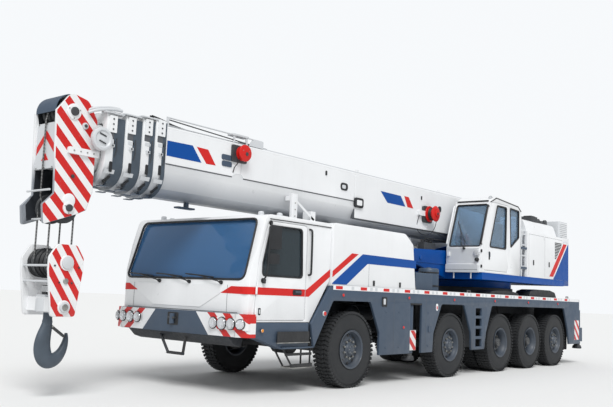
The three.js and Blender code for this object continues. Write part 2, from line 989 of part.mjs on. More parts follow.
function operatorDoor() {
  const { outer, wall } = operator;
  const panel = alongX(outer - wall, outer, operatorDoorOutline(0));
  const window = alongX(outer - wall - 10, outer + 10, [
    [4740, 2630, 40],
    [5080, 3540, 40],
    [5520, 3540, 40],
    [5500, 2630, 40],
  ]);
  return join(cut(panel, window), operatorHinges(roundPin, 0));
}

add("operator_door", finish.white, operatorDoor());

function operatorSeat() {
  const { inner, outer, wall } = operator;
  const middle = (inner + outer) / 2;
  const base = platform.top + seat + wall + seat;
  return join(
    block3(middle - 180, middle + 180, 5250, 5650, base, base + 420),
    block3(middle - 260, middle + 260, 5120, 5700, base + 400, base + 560),
    alongX(middle - 240, middle + 240, [
      [5590, base + 520],
      [5720, base + 520],
      [5860, base + 1220, 40],
      [5740, base + 1220, 40],
    ]),
    block3(middle - 340, middle - 250, 5080, 5600, base + 420, base + 720),
    block3(middle + 250, middle + 340, 5080, 5600, base + 420, base + 720),
  );
}

add("operator_chair", finish.cloth, operatorSeat());

function machineryHouse() {
  const { inner, front, rear, top, wall } = house;
  const outer = platform.halfWidth;
  const foot = platform.top + seat;
  const shell = block3(inner, outer, front, rear, foot, top);
  return cut(shell, block3(inner + wall, outer - wall, front + wall, rear - wall, foot - 10, top - wall));
}

add("machinery_house", finish.white, machineryHouse());

function hydraulicTank() {
  const outer = platform.halfWidth;
  const outline = [
    [-house.inner, platform.top + seat],
    [-outer, platform.top + seat],
    [-outer, tank.top, 120],
    [-house.inner, tank.top, 60],
  ];
  return alongY(tank.front, tank.rear, outline);
}

add("hydraulic_tank", finish.white, hydraulicTank());

function ballast() {
  const { rear, bottom, top, corner } = counterweight;
  const front = platform.rear + seat;
  const w = platform.halfWidth;
  const plan = [
    [w, front],
    [w, rear, corner],
    [-w, rear, corner],
    [-w, front],
  ];
  return alongZ(bottom, top, plan);
}

add("counterweight", finish.blue, ballast());

function winchDrum() {
  const { y, z, radius, flange, halfLength, flangeThickness } = winch;
  const end = cheek.inner - seat;
  const profile = [
    [0, -end],
    [60, -end],
    [60, -halfLength],
    [flange, -halfLength],
    [flange, flangeThickness - halfLength],
    [radius, flangeThickness - halfLength],
    [radius, halfLength - flangeThickness],
    [flange, halfLength - flangeThickness],
    [flange, halfLength],
    [60, halfLength],
    [60, end],
    [0, end],
  ];
  return turnedX(y, z, profile, 16);
}

// ---- boom ----

// Section 1 is the base. The lower part is rounded and the upper part is square.
function boomSection(level, inset) {
  const shrink = (level - 1) * boom.step + inset;
  const w = boom.halfWidth - shrink;
  const low = boom.bottom + shrink;
  const high = boom.top - shrink;
  const curve = Math.min(boom.keel - shrink * 0.6, w - 30);
  return [
    [w, low, curve],
    [w, high, 40],
    [-w, high, 40],
    [-w, low, curve],
  ];
}

function collarOutline(level) {
  const drop = (level - 1) * boom.step;
  const lift = drop * 0.55;
  const w = boom.halfWidth + boom.collarGrow - drop * 0.55;
  const low = boom.bottom - boom.collarHeight + lift;
  const high = boom.top + boom.collarHeight + 24 - lift;
  const curve = Math.min(boom.keel - drop * 0.4, w - 30);
  return [
    [w, low, curve],
    [w, high, 60],
    [-w, high, 60],
    [-w, low, curve],
  ];
}

function sectionFront(level) {
  return boom.collarPitches.slice(0, level - 1).reduce((front, pitch) => front - pitch, boom.front);
}

function tube(level) {
  const front = sectionFront(level);
  const rear = level === 1 ? boom.rear : boom.innerRear - (level - 2) * 60;
  const outside = alongY(front, rear, boomSection(level, 0));
  const collar = alongY(front, front + boom.collarLength, collarOutline(level));
  const hollow = alongY(front - 10, rear + 10, boomSection(level, boom.wall));
  const padFoot = boom.bottom + (level - 1) * boom.step + 4;
  const padTop = boom.bottom + level * boom.step - seat;
  const pad = block3(-110, 110, front, front + boom.collarLength, padFoot, padTop);
  return cut(join(outside, collar), hollow).add(pad);
}

function boomBase() {
  const body = tube(1);
  const { y: pinY, z: pinZ } = boomPin;
  const hub = (x0, x1) => bar([x0, pinY, pinZ], [x1, pinY, pinZ], boomPin.radius + 75, 16);
  const hubEnd = cheek.inner - slideGap;
  const pinHole = bore([-600, pinY, pinZ], [600, pinY, pinZ], boomPin.radius);
  const { y, z, radius, halfWidth } = luffEye;
  const lug = (x0, x1) =>
    alongX(x0, x1, [
      [y - 260, boom.bottom + 30],
      [y + 260, boom.bottom + 30],
      [y + radius - 10, z - 90, 40],
      [y - radius + 10, z - 90, 40],
    ]);
  const lugGap = halfWidth + slideGap;
  const side = boom.halfWidth - boom.wall / 2;
  const parts = [
    body,
    hub(side, hubEnd),
    hub(-hubEnd, -side),
    lug(lugGap, lugGap + 35),
    lug(-lugGap - 35, -lugGap),
  ];
  return cut(join(...parts), pinHole);
}

add("main_winch", finish.dark, winchDrum());
add("boom_base", finish.white, boomBase());
for (let level = 2; level < boom.sections; level += 1) {
  add(`boom_section_${level}`, finish.white, tube(level));
}

function headPlate(x0, x1) {
  const { front, rear, top, sheaveY, sheaveZ } = head;
  return alongX(x0, x1, [
    [front + 100, top - 270],
    [sheaveY - 70, top, 110],
    [sheaveY + 200, top - 60, 120],
    [rear, top - 300],
    [rear, sheaveZ + 250],
    [rear - 80, sheaveZ],
    [rear - 220, 2380],
    [front + 30, 2210, 30],
    [front, sheaveZ + 10],
    [front + 150, sheaveZ + 170],
  ]);
}

function sheave(x, y, z, radius, groove) {
  const half = head.sheaveWidth / 2;
  return turnedX(
    y,
    z,
    [
      [0, x - half],
      [radius, x - half],
      [groove, x - falls.radius - 1],
      [groove, x + falls.radius + 1],
      [radius, x + half],
      [0, x + half],
    ],
    16,
  );
}

function boomHead() {
  const level = boom.sections;
  const outside = alongY(head.rear - 60, boom.innerRear - (level - 2) * 60, boomSection(level, 0));
  const hollow = alongY(head.rear + 40, boom.innerRear + 100, boomSection(level, boom.wall));
  const { plateInner, plateThickness } = head;
  const w = plateInner + plateThickness;
  const cover = block3(-plateInner - 5, plateInner + 5, head.front + 150, head.front + 190, 2950, 3560);
  const spine = block3(-plateInner - 5, plateInner + 5, head.front + 430, head.rear - 50, 2990, 3560);
  const pin = (y, z) => bar([-w - 10, y, z], [w + 10, y, z], head.pinRadius);
  const parts = [
    cut(outside, hollow),
    headPlate(plateInner, w),
    headPlate(-w, -plateInner),
    cover,
    spine,
    pin(head.idlerY, head.idlerZ),
    pin(head.sheaveY, head.sheaveZ),
    sheave(0, head.idlerY, head.idlerZ, head.idlerRadius, head.idlerRadius - 35),
  ];
  for (const side of [-1, 1]) {
    const x = side * head.sheavePlace;
    parts.push(sheave(x, head.sheaveY, head.sheaveZ, head.sheaveRadius, falls.offset - falls.radius - seat));
  }
  return join(...parts);
}

add(`boom_section_${boom.sections}`, finish.white, boomHead());

// ---- hook block ----

function hoistFalls() {
  const { sheavePlace, sheaveY, sheaveZ, pinRadius, sheaveRadius } = head;
  const pinEnd = block.plateInner - seat;
  const parts = [bar([-pinEnd, sheaveY, block.sheaveZ], [pinEnd, sheaveY, block.sheaveZ], pinRadius)];
  for (const side of [-1, 1]) {
    const x = side * sheavePlace;
    parts.push(sheave(x, sheaveY, block.sheaveZ, sheaveRadius, falls.offset));
    for (const way of [-1, 1]) {
      const y = sheaveY + way * falls.offset;
      parts.push(bar([x, y, block.sheaveZ], [x, y, sheaveZ], falls.radius, 8));
    }
  }
  return join(...parts);
}

add("hoist_falls", finish.steel, hoistFalls());

function hookBlock() {
  const { plateInner, plateThickness, top, bottom, halfDepth, crossTop } = block;
  const y = head.sheaveY;
  const plate = (x0, x1) =>
    alongX(x0, x1, [
      [y - 140, top, 60],
      [y + 140, top, 60],
      [y + halfDepth, top - 170, 60],
      [y + halfDepth, top - 330, 60],
      [y + 170, bottom, 40],
      [y - 170, bottom, 40],
      [y - halfDepth, top - 330, 60],
      [y - halfDepth, top - 170, 60],
    ]);
  const cross = block3(-plateInner - 5, plateInner + 5, y - 130, y + 130, bottom + 60, crossTop);
  const shankHole = bore([0, y, bottom - 10], [0, y, crossTop + 10], block.shank);
  const parts = join(
    plate(plateInner, plateInner + plateThickness),
    plate(-plateInner - plateThickness, -plateInner),
    cross,
  );
  return cut(parts, shankHole);
}

add("hook_block", finish.white, hookBlock());

function craneHook() {
  const y = head.sheaveY;
  const { eyeZ, bowl, thickness, bowlOut } = hook;
  const collarTop = block.crossTop + seat;
  const shank = roundPin([0, y, eyeZ + 150], [0, y, collarTop + 20], block.shank);
  const nut = bar([0, y, collarTop], [0, y, collarTop + 60], block.shank + 35);
  const points = [];
  const start = (100 * Math.PI) / 180;
  const sweep = (285 * Math.PI) / 180;
  const steps = 12;
  for (let i = 0; i <= steps; i += 1) {
    const angle = start + (sweep * i) / steps;
    points.push(new THREE.Vector3(0, y + bowlOut + bowl * Math.cos(angle), eyeZ + bowl * Math.sin(angle)));
  }
  const path = new THREE.CatmullRomCurve3(points);
  const section = new THREE.Shape();
  section.absarc(0, 0, thickness, 0, Math.PI * 2);
  const geometry = new THREE.ExtrudeGeometry(section, { steps: 14, extrudePath: path, curveSegments: 4 });
  return join(shank, nut, toSolid(geometry), bar([0, y, eyeZ + 120], [0, y, eyeZ + 220], block.shank + 22));
}

add("crane_hook", finish.slate, craneHook());

// ---- luffing cylinder ----

function luffPoint(share, offset = 0) {
  const dy = luffEye.y - luffFoot.y;
  const dz = luffEye.z - luffFoot.z;
  const length = Math.hypot(dy, dz);
  const t = share + offset / length;
  return [0, luffFoot.y + dy * t, luffFoot.z + dz * t];
}

function luffBarrel() {
  const { radius, collar, rodRadius, rodOut } = luffTube;
  const side = luffTube.collar + 4;
  const body = bar(luffPoint(0), luffPoint(1, -rodOut), radius, 16);
  const gland = bar(luffPoint(1, -rodOut - 120), luffPoint(1, -rodOut), collar, 16);
  const eye = bar([-side, luffFoot.y, luffFoot.z], [side, luffFoot.y, luffFoot.z], radius, 16);
  const rodHole = bar(luffPoint(0, 500), luffPoint(1), rodRadius + 1, 16);
  const { y, z } = luffFoot;
  const pinHole = bore([-side - 5, y, z], [side + 5, y, z], luffFoot.radius);
  return cut(join(body, gland, eye), rodHole, pinHole);
}

function luffRod() {
  const { y, z, radius, halfWidth } = luffEye;
  return join(
    bar(luffPoint(0, 520), luffPoint(1, -290), luffTube.rodRadius, 16),
    bar(luffPoint(1, -310), luffPoint(1, -40), luffTube.neckRadius, 16),
    bar([-halfWidth, y, z], [halfWidth, y, z], radius, 16),
  );
}

add("luff_barrel", finish.white, luffBarrel());
add("luff_rod", finish.steel, luffRod());

// The origin goes to the ground at the middle of the length.
const rearEnd = outrigger.rearPlace + outrigger.beamWidth + slideGap + 1.5 * outrigger.boxWall;
crane.position.y = -(head.front + rearEnd) / 2;

export default crane;
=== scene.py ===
import math

import bmesh
import bpy
from mathutils import Matrix, Vector


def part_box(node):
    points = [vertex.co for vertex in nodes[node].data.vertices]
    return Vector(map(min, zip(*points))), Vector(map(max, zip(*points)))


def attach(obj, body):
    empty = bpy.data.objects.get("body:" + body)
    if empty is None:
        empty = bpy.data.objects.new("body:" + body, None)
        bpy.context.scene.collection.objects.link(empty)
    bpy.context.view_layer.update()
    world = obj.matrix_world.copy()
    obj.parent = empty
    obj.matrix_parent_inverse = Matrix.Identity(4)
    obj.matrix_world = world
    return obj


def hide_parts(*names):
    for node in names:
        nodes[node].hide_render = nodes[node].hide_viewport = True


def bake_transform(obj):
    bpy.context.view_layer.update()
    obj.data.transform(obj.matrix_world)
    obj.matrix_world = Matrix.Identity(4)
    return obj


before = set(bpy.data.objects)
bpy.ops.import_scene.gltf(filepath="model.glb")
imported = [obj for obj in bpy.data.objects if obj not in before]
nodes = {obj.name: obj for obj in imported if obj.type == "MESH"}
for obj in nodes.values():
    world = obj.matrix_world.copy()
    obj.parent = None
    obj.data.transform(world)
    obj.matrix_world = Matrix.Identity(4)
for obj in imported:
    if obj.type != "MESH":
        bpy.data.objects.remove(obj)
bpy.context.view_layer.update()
frontAxle = sum(corner.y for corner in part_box("wheel_1_left")) / 2  # lengths below run from the front axle
print("frame loaded,", len(nodes), "nodes")


def addObject(name, data):
    made = bpy.data.objects.new(name, data)
    bpy.context.scene.collection.objects.link(made)
    return made


# camera, low beside the left front corner
view = {"place": (9.0176, -12.7633, 1.4613), "aim": (-0.64223, 0.7574, 0.11781), "roll": 2.327,
    "lens": 45.2}
camera = addObject("camera", bpy.data.cameras.new("camera"))
camera.data.sensor_width = 36
camera.data.lens = view["lens"]
camera.data.clip_end = 400
camera.location = view["place"]
camera.rotation_mode = "QUATERNION"
camera.rotation_quaternion = (Vector(view["aim"]).to_track_quat("-Z",
    "Y") @ Matrix.Rotation(math.radians(view["roll"]), 4, "Z").to_quaternion())
bpy.context.scene.camera = camera

# studio: pale floor, one broad soft sun, pale sky
studio = {"floor": (0.8, 0.8, 0.79), "floorSize": 160, "sun": 2.3, "sunAngle": 28,
    "sunFrom": (0.62, -0.55, 0.95), "fill": 0.62, "sky": (0.93, 0.95, 0.97)}


def feed(tree, node, inputs):
    for key, value in inputs.items():
        if isinstance(value, bpy.types.NodeSocket):
            tree.links.new(value, node.inputs[key])
        else:
            node.inputs[key].default_value = value


def addNode(tree, kind, inputs=None, family="ShaderNode", **settings):
    made = tree.nodes.new(family + kind)
    for key, value in settings.items():
        setattr(made, key, value)
    feed(tree, made, inputs or {})
    return made


def newFinish(name):
    material = bpy.data.materials.new(name)
    material.use_nodes = True
    tree = material.node_tree
    tree.nodes.clear()
    shader = addNode(tree, "BsdfPrincipled")
    addNode(tree, "OutputMaterial", {0: shader.outputs[0]})
    return material, tree, shader


def makeStudio():
    floorMesh = bpy.data.meshes.new("floor")
    shape = bmesh.new()
    bmesh.ops.create_circle(shape, cap_ends=True, segments=64, radius=studio["floorSize"])
    shape.to_mesh(floorMesh)
    shape.free()
    floorPaint, tree, shader = newFinish("floor")
    feed(tree, shader, {"Base Color": (*studio["floor"], 1), "Roughness": 0.9})
    floorMesh.materials.append(floorPaint)
    addObject("floor", floorMesh)

    sun = addObject("sun", bpy.data.lights.new("sun", "SUN"))
    sun.data.energy = studio["sun"]
    sun.data.angle = math.radians(studio["sunAngle"])
    sun.rotation_mode = "QUATERNION"
    sun.rotation_quaternion = Vector(studio["sunFrom"]).to_track_quat("Z", "Y")

    world = bpy.data.worlds.new("sky")
    bpy.context.scene.world = world
    world.use_nodes = True
    tree = world.node_tree
    tree.nodes.clear()
    rays = addNode(tree, "LightPath").outputs
    seen = addNode(tree, "Math", {0: rays["Is Camera Ray"], 1: rays["Is Transmission Ray"]},
        operation="MAXIMUM")
    lit, shown = [addNode(tree, "Background", {"Color": (*studio["sky"], 1),
        "Strength": strength}).outputs[0] for strength in (studio["fill"], 1.0)]
    mix = addNode(tree, "MixShader", {0: seen.outputs[0], 1: lit, 2: shown})
    addNode(tree, "OutputWorld", {0: mix.outputs[0]})
    bpy.context.scene.view_settings.view_transform = "Standard"


makeStudio()
print("studio and camera ready")


def place(tree):
    return addNode(tree, "TexCoord").outputs["Object"]


def noise(tree, scale, detail=4.0, stretch=None, roughness=0.55):
    vector = place(tree)
    if stretch:
        vector = addNode(tree, "Mapping", {"Vector": vector, "Scale": stretch}).outputs[0]
    return addNode(tree, "TexNoise", {"Vector": vector, "Scale": scale, "Detail": detail,
        "Roughness": roughness}).outputs[0]


def waves(tree, vector, scale, axis="X"):
    return addNode(tree, "TexWave", {"Vector": vector, "Scale": scale}, bands_direction=axis).outputs[1]


def ramp(tree, value, low, high, start=0.0, end=1.0):
    return addNode(tree, "MapRange", {"Value": value, 1: low, 2: high, 3: start, 4: end}).outputs[0]


def blendColour(tree, amount, first, second):
    tones = [tone if isinstance(tone, bpy.types.NodeSocket) else (*tone, 1) for tone in (first, second)]
    return addNode(tree, "Mix", {0: amount, 6: tones[0], 7: tones[1]}, data_type="RGBA").outputs[2]


def bump(tree, height, distance, strength=1.0):
    return addNode(tree, "Bump", {"Height": height, "Distance": distance, "Strength": strength}).outputs[0]


def times(tree, first, second, operation="MULTIPLY"):
    return addNode(tree, "Math", {0: first, 1: second}, operation=operation).outputs[0]


def plus(tree, first, second):
    return times(tree, first, second, "ADD")


def shaded(colour, factor, lift=0.0):
    return tuple(c * factor + lift for c in colour)


road = {"dust": (0.13, 0.125, 0.12), "top": 1.5, "fade": 0.25}  # dirt thrown up by the wheels


def weathered(tree, colour, amount):
    height = addNode(tree, "SeparateXYZ", {0: place(tree)}).outputs[2]
    low = ramp(tree, height, road["top"], road["fade"])
    patches = ramp(tree, noise(tree, 2.2, 6.0, (1, 1, 0.45)), 0.38, 0.72)
    specks = ramp(tree, noise(tree, 38.0, 3.0), 0.45, 0.75)
    dirt = times(tree, low, plus(tree, times(tree, patches, 0.8), times(tree, specks, 0.35)))
    return blendColour(tree, times(tree, dirt, amount), colour, road["dust"])


def machinePaint(name, colour, gloss=0.32, dirt=0.5, streaks=0.1, shine=0.5):
    material, tree, shader = newFinish(name)
    painted = blendColour(tree, ramp(tree, noise(tree, 0.9, 5.0), 0.3, 0.7), colour, shaded(colour, 0.93))
    runs = ramp(tree, noise(tree, 5.0, 5.0, (1.6, 1.6, 0.12)), 0.55, 0.8, 0.0, streaks)
    painted = blendColour(tree, runs, painted, shaded(colour, 0.62, 0.02))
    feed(tree, shader, {"Base Color": weathered(tree, painted, dirt), "Roughness": ramp(tree,
        noise(tree, 7.0, 6.0), 0.3, 0.75, gloss - 0.05, gloss + 0.16), "Specular IOR Level": shine,
        "Coat Weight": shine * 0.24, "Coat Roughness": 0.12, "Normal": bump(tree, noise(tree, 260.0, 2.0),
        0.0004, 0.5)})
    return material


# paint darkened towards the underside between two heights: painted shade, blended into a shade colour
def paintShadedBelow(name, colour, shadeColour, top, bottom, most):
    material = machinePaint(name, colour, 0.32, 0.2)
    tree = material.node_tree
    shader = tree.nodes["Principled BSDF"]
    painted = shader.inputs["Base Color"].links[0].from_socket
    height = addNode(tree, "SeparateXYZ", {0: place(tree)}).outputs[2]
    low = ramp(tree, height, top, bottom, 0.0, most)
    feed(tree, shader, {"Base Color": blendColour(tree, low, painted, shadeColour)})
    return material


def bareSteel(name, colour, roughness=0.35, grain=(1, 1, 1), grease=0.0):
    material, tree, shader = newFinish(name)
    lines = noise(tree, 120.0, 4.0, grain)
    tone = blendColour(tree, ramp(tree, lines, 0.3, 0.7), colour, shaded(colour, 0.78))
    stain = times(tree, ramp(tree, noise(tree, 9.0, 6.0), 0.45, 0.7), grease)
    feed(tree, shader, {"Base Color": blendColour(tree, stain, tone, (0.05, 0.04, 0.03)), "Metallic": 0.9,
        "Roughness": ramp(tree, lines, 0.2, 0.8, roughness - 0.08, roughness + 0.12),
        "Normal": bump(tree, lines, 0.0003, 0.4)})
    return material


def darkPaint(name, colour, roughness=0.55, grain=900.0, depth=0.0004, dirt=0.55):
    material, tree, shader = newFinish(name)
    mottled = blendColour(tree, ramp(tree, noise(tree, 6.0, 6.0), 0.3, 0.75), colour,
        shaded(colour, 1.4, 0.004))
    feed(tree, shader, {"Base Color": weathered(tree, mottled, dirt), "Roughness": ramp(tree,
        noise(tree, 24.0, 4.0), 0.3, 0.7, roughness - 0.08, roughness + 0.12), "Normal": bump(tree,
        noise(tree, grain, 2.0), depth, 0.6)})
    return material


def tyreRubber(name):
    material, tree, shader = newFinish(name)
    dusty = plus(tree, times(tree, noise(tree, 3.0, 6.0), 0.7), times(tree, noise(tree, 60.0, 4.0), 0.4))
    clean, dusted = (0.01, 0.012, 0.015), (0.034, 0.035, 0.036)
    feed(tree, shader, {"Base Color": blendColour(tree, ramp(tree, dusty, 0.35, 0.8), clean, dusted),
        "Roughness": ramp(tree, dusty, 0.3, 0.8, 0.62, 0.88), "Normal": bump(tree, noise(tree, 420.0, 3.0),
        0.0007, 0.6)})
    return material


def tintedGlass(name, tint, transmission=0.88):
    material, tree, shader = newFinish(name)
    film = ramp(tree, noise(tree, 2.5, 5.0), 0.35, 0.75, 0.02, 0.075)
    feed(tree, shader, {"Base Color": (*tint, 1), "Roughness": film, "Transmission Weight": transmission,
        "IOR": 1.45, "Normal": bump(tree, noise(tree, 1.3, 2.0), 0.002, 0.2)})
    return material


def lampLens(name, tint, clear=0.55):
    material, tree, shader = newFinish(name)
    fluting = waves(tree, place(tree), 260 / 6.283, "Z")
    bright = tuple(min(1, c) for c in shaded(tint, 1.25, 0.02))
    feed(tree, shader, {"Base Color": blendColour(tree, ramp(tree, fluting, 0.2, 0.8), tint, bright),
        "Transmission Weight": clear, "Roughness": 0.12, "Normal": bump(tree, fluting, 0.001, 0.5)})
    return material


def warningStripes(name, direction, pitch, shift=0.0, share=0.5):
    material, tree, shader = newFinish(name)
    along = addNode(tree, "VectorMath", {0: place(tree), 1: direction},
        operation="DOT_PRODUCT").outputs["Value"]
    step = addNode(tree, "Math", {0: times(tree, plus(tree, along, -shift), 1 / pitch)},
        operation="FRACT").outputs[0]
    striped = blendColour(tree, times(tree, step, share, "LESS_THAN"), (0.8, 0.8, 0.8),
        (0.58, 0.008, 0.006))
    worn = ramp(tree, noise(tree, 30.0, 6.0), 0.62, 0.75, 0.0, 0.25)
    feed(tree, shader, {"Base Color": weathered(tree, blendColour(tree, worn, striped, (0.3, 0.3, 0.3)),
        0.4), "Roughness": ramp(tree, noise(tree, 12.0), 0.3, 0.7, 0.28, 0.42), "Normal": bump(tree,
        noise(tree, 700.0, 2.0), 0.0003, 0.4)})
    return material


def treadPlate(name, colour, pitch=0.055):
    material, tree, shader = newFinish(name)
    heights = []
    for turn in (45, -45):
        turned = addNode(tree, "Mapping", {"Vector": place(tree),
            "Rotation": (0, 0, math.radians(turn))}).outputs[0]
        heights.append(waves(tree, turned, 0.3142 / pitch))
    bars = ramp(tree, times(tree, *heights), 0.5, 0.75)
    worn = times(tree, bars, ramp(tree, noise(tree, 5.0, 6.0), 0.4, 0.7))
    scuffed = blendColour(tree, worn, colour, (0.45, 0.46, 0.47))
    dusty = ramp(tree, noise(tree, 1.4, 6.0), 0.45, 0.8, 0.0, 0.5)
    feed(tree, shader, {"Base Color": blendColour(tree, dusty, scuffed, road["dust"]), "Roughness": 0.55,
        "Normal": bump(tree, bars, 0.003, 0.8)})
    return material


def twistedRope(name, colour):
    material, tree, shader = newFinish(name)
    leaned = addNode(tree, "Mapping", {"Vector": place(tree), "Rotation": (0.5, 0.5, 0)}).outputs[0]
    strands = waves(tree, leaned, 9.0, "Z")
    feed(tree, shader, {"Base Color": blendColour(tree, strands, shaded(colour, 0.45), colour),
        "Metallic": 0.6, "Roughness": 0.5, "Normal": bump(tree, strands, 0.004, 1.0)})
    return material


def wovenCloth(name, colour, second):
    material, tree, shader = newFinish(name)
    weave = [times(tree, waves(tree, place(tree), 90.0, axis), 0.5) for axis in "XZ"]
    threads = plus(tree, *weave)
    flecks = ramp(tree, noise(tree, 160.0, 3.0), 0.5, 0.65)
    feed(tree, shader, {"Base Color": blendColour(tree, times(tree, threads, flecks), colour, second),
        "Roughness": 0.9, "Sheen Weight": 0.25, "Normal": bump(tree, threads, 0.0012, 0.8)})
    return material


white = machinePaint("whitePaint", (0.84, 0.85, 0.86), 0.32, 0.35)
# the boom's white darkens towards its underside, below 3.13 m, as painted shade
boomPaintShadedBelow = paintShadedBelow("boomPaintShadedBelow", (0.84, 0.85, 0.86), (0.1, 0.125, 0.165), 3.13, 2.79, 0.75)
cream = machinePaint("paleGreyPaint", (0.62, 0.64, 0.66), 0.4, 0.5)
blue = machinePaint("bluePaint", (0.0, 0.068, 0.32), 0.35, 0.1, 0.04, 0.2)
red = machinePaint("redPaint", (0.62, 0.01, 0.007), 0.4, 0.1, 0.06, 0.35)
grey = machinePaint("chassisGrey", (0.054, 0.082, 0.125), 0.45, 0.35, 0.1, 0.35)
black = darkPaint("blackPlastic", (0.009, 0.01, 0.012), 0.5, dirt=0.3)
dark = darkPaint("darkSteel", (0.035, 0.038, 0.042), 0.5, 300.0, 0.0008)
# dark paint for the underside; also used inside the boom head as painted shade
underPaintAndShade = darkPaint("underPaintAndShade", (0.012, 0.015, 0.02), 0.6, 300.0, 0.0006, 0.35)
slate = darkPaint("forgedHook", (0.045, 0.062, 0.082), 0.45, 90.0, 0.0015, 0.1)
rubber = tyreRubber("tyreRubber")
steel = bareSteel("groundSteel", (0.62, 0.63, 0.64), 0.25, (1, 0.15, 1))
zinc = bareSteel("zincBolts", (0.45, 0.45, 0.43), 0.4, (1, 1, 1), 0.6)
rimGrey = machinePaint("rimGrey", (0.05, 0.066, 0.09), 0.45, 0.4)
mirrorGlass = bareSteel("mirrorGlass", (0.85, 0.87, 0.9), 0.12)
windowGlass = tintedGlass("windowGlass", (0.44, 0.62, 0.8), 0.8)
screenGlass = tintedGlass("screenGlass", (0.085, 0.225, 0.46), 0.5)
doorGlass = tintedGlass("doorGlass", (0.05, 0.075, 0.09), 0.55)
lampClear = lampLens("clearLens", (0.82, 0.85, 0.88), 0.6)
lampRed = lampLens("redLens", (0.65, 0.02, 0.015), 0.2)
lampAmber = lampLens("amberLens", (0.85, 0.3, 0.02), 0.25)
headStripes = warningStripes("headStripes", (0, 0.7071, 0.7071), 0.196, 0.046, share=0.53)
blockStripes = warningStripes("blockStripes", (0, 0.823, 0.568), 0.171, 0.068, share=0.5)
deckPlate = treadPlate("deckPlate", (0.16, 0.19, 0.24))
rope = twistedRope("hoistRope", (0.23, 0.23, 0.23))
seatCloth = wovenCloth("seatCloth", (0.03, 0.034, 0.045), (0.1, 0.12, 0.17))
# dark trim for seams, joints and the cab inside; also used for strips and plates painted as shade
trimAndShade = darkPaint("cabTrimAndShade", (0.075, 0.08, 0.088), 0.7, 500.0, 0.0006, 0.0)
print("finishes made")
# shapes: lengths in metres, Y from the front axle, X from the middle, Z from the ground
turnTo = {"X": Matrix(((0, 0, 1), (1, 0, 0), (0, 1, 0))), "Y": Matrix(((1, 0, 0), (0, 0, 1), (0, 1, 0))),
    "Z": Matrix.Identity(3)}  # an outline's across, up and depth become X, Y and Z
sunk = 0.002  # how far a fitting reaches into what carries it
bothSides = (1, -1)
sideNames = (("left", 1), ("right", -1))


# a frame whose third axis looks along a direction or a named axis
def facing(direction, centre):
    aim = [float(direction == name) for name in "XYZ"] if isinstance(direction, str) else direction
    matrix = Vector(aim).to_track_quat("Z", "Y").to_matrix().to_4x4()
    matrix.translation = Vector(centre)
    return matrix


# the same, with the second axis as near up as it can be
def standing(direction, centre, up=(0, 0, 1)):
    out = Vector(direction).normalized()
    across = Vector(up).cross(out).normalized()
    matrix = Matrix((across, out.cross(across), out)).transposed().to_4x4()
    matrix.translation = Vector(centre)
    return matrix


# moved to a place, after a turn about one axis
def shifted(centre, degrees=0, axis="X"):
    return Matrix.Translation(centre) @ Matrix.Rotation(math.radians(degrees), 4, axis)


def softenEdges(made, width, angle):
    softened = made.modifiers.new("edges", "BEVEL")
    softened.width = width
    softened.segments = 2
    softened.limit_method = "ANGLE"
    softened.angle_limit = math.radians(angle)
    softened.harden_normals = True
    return softened


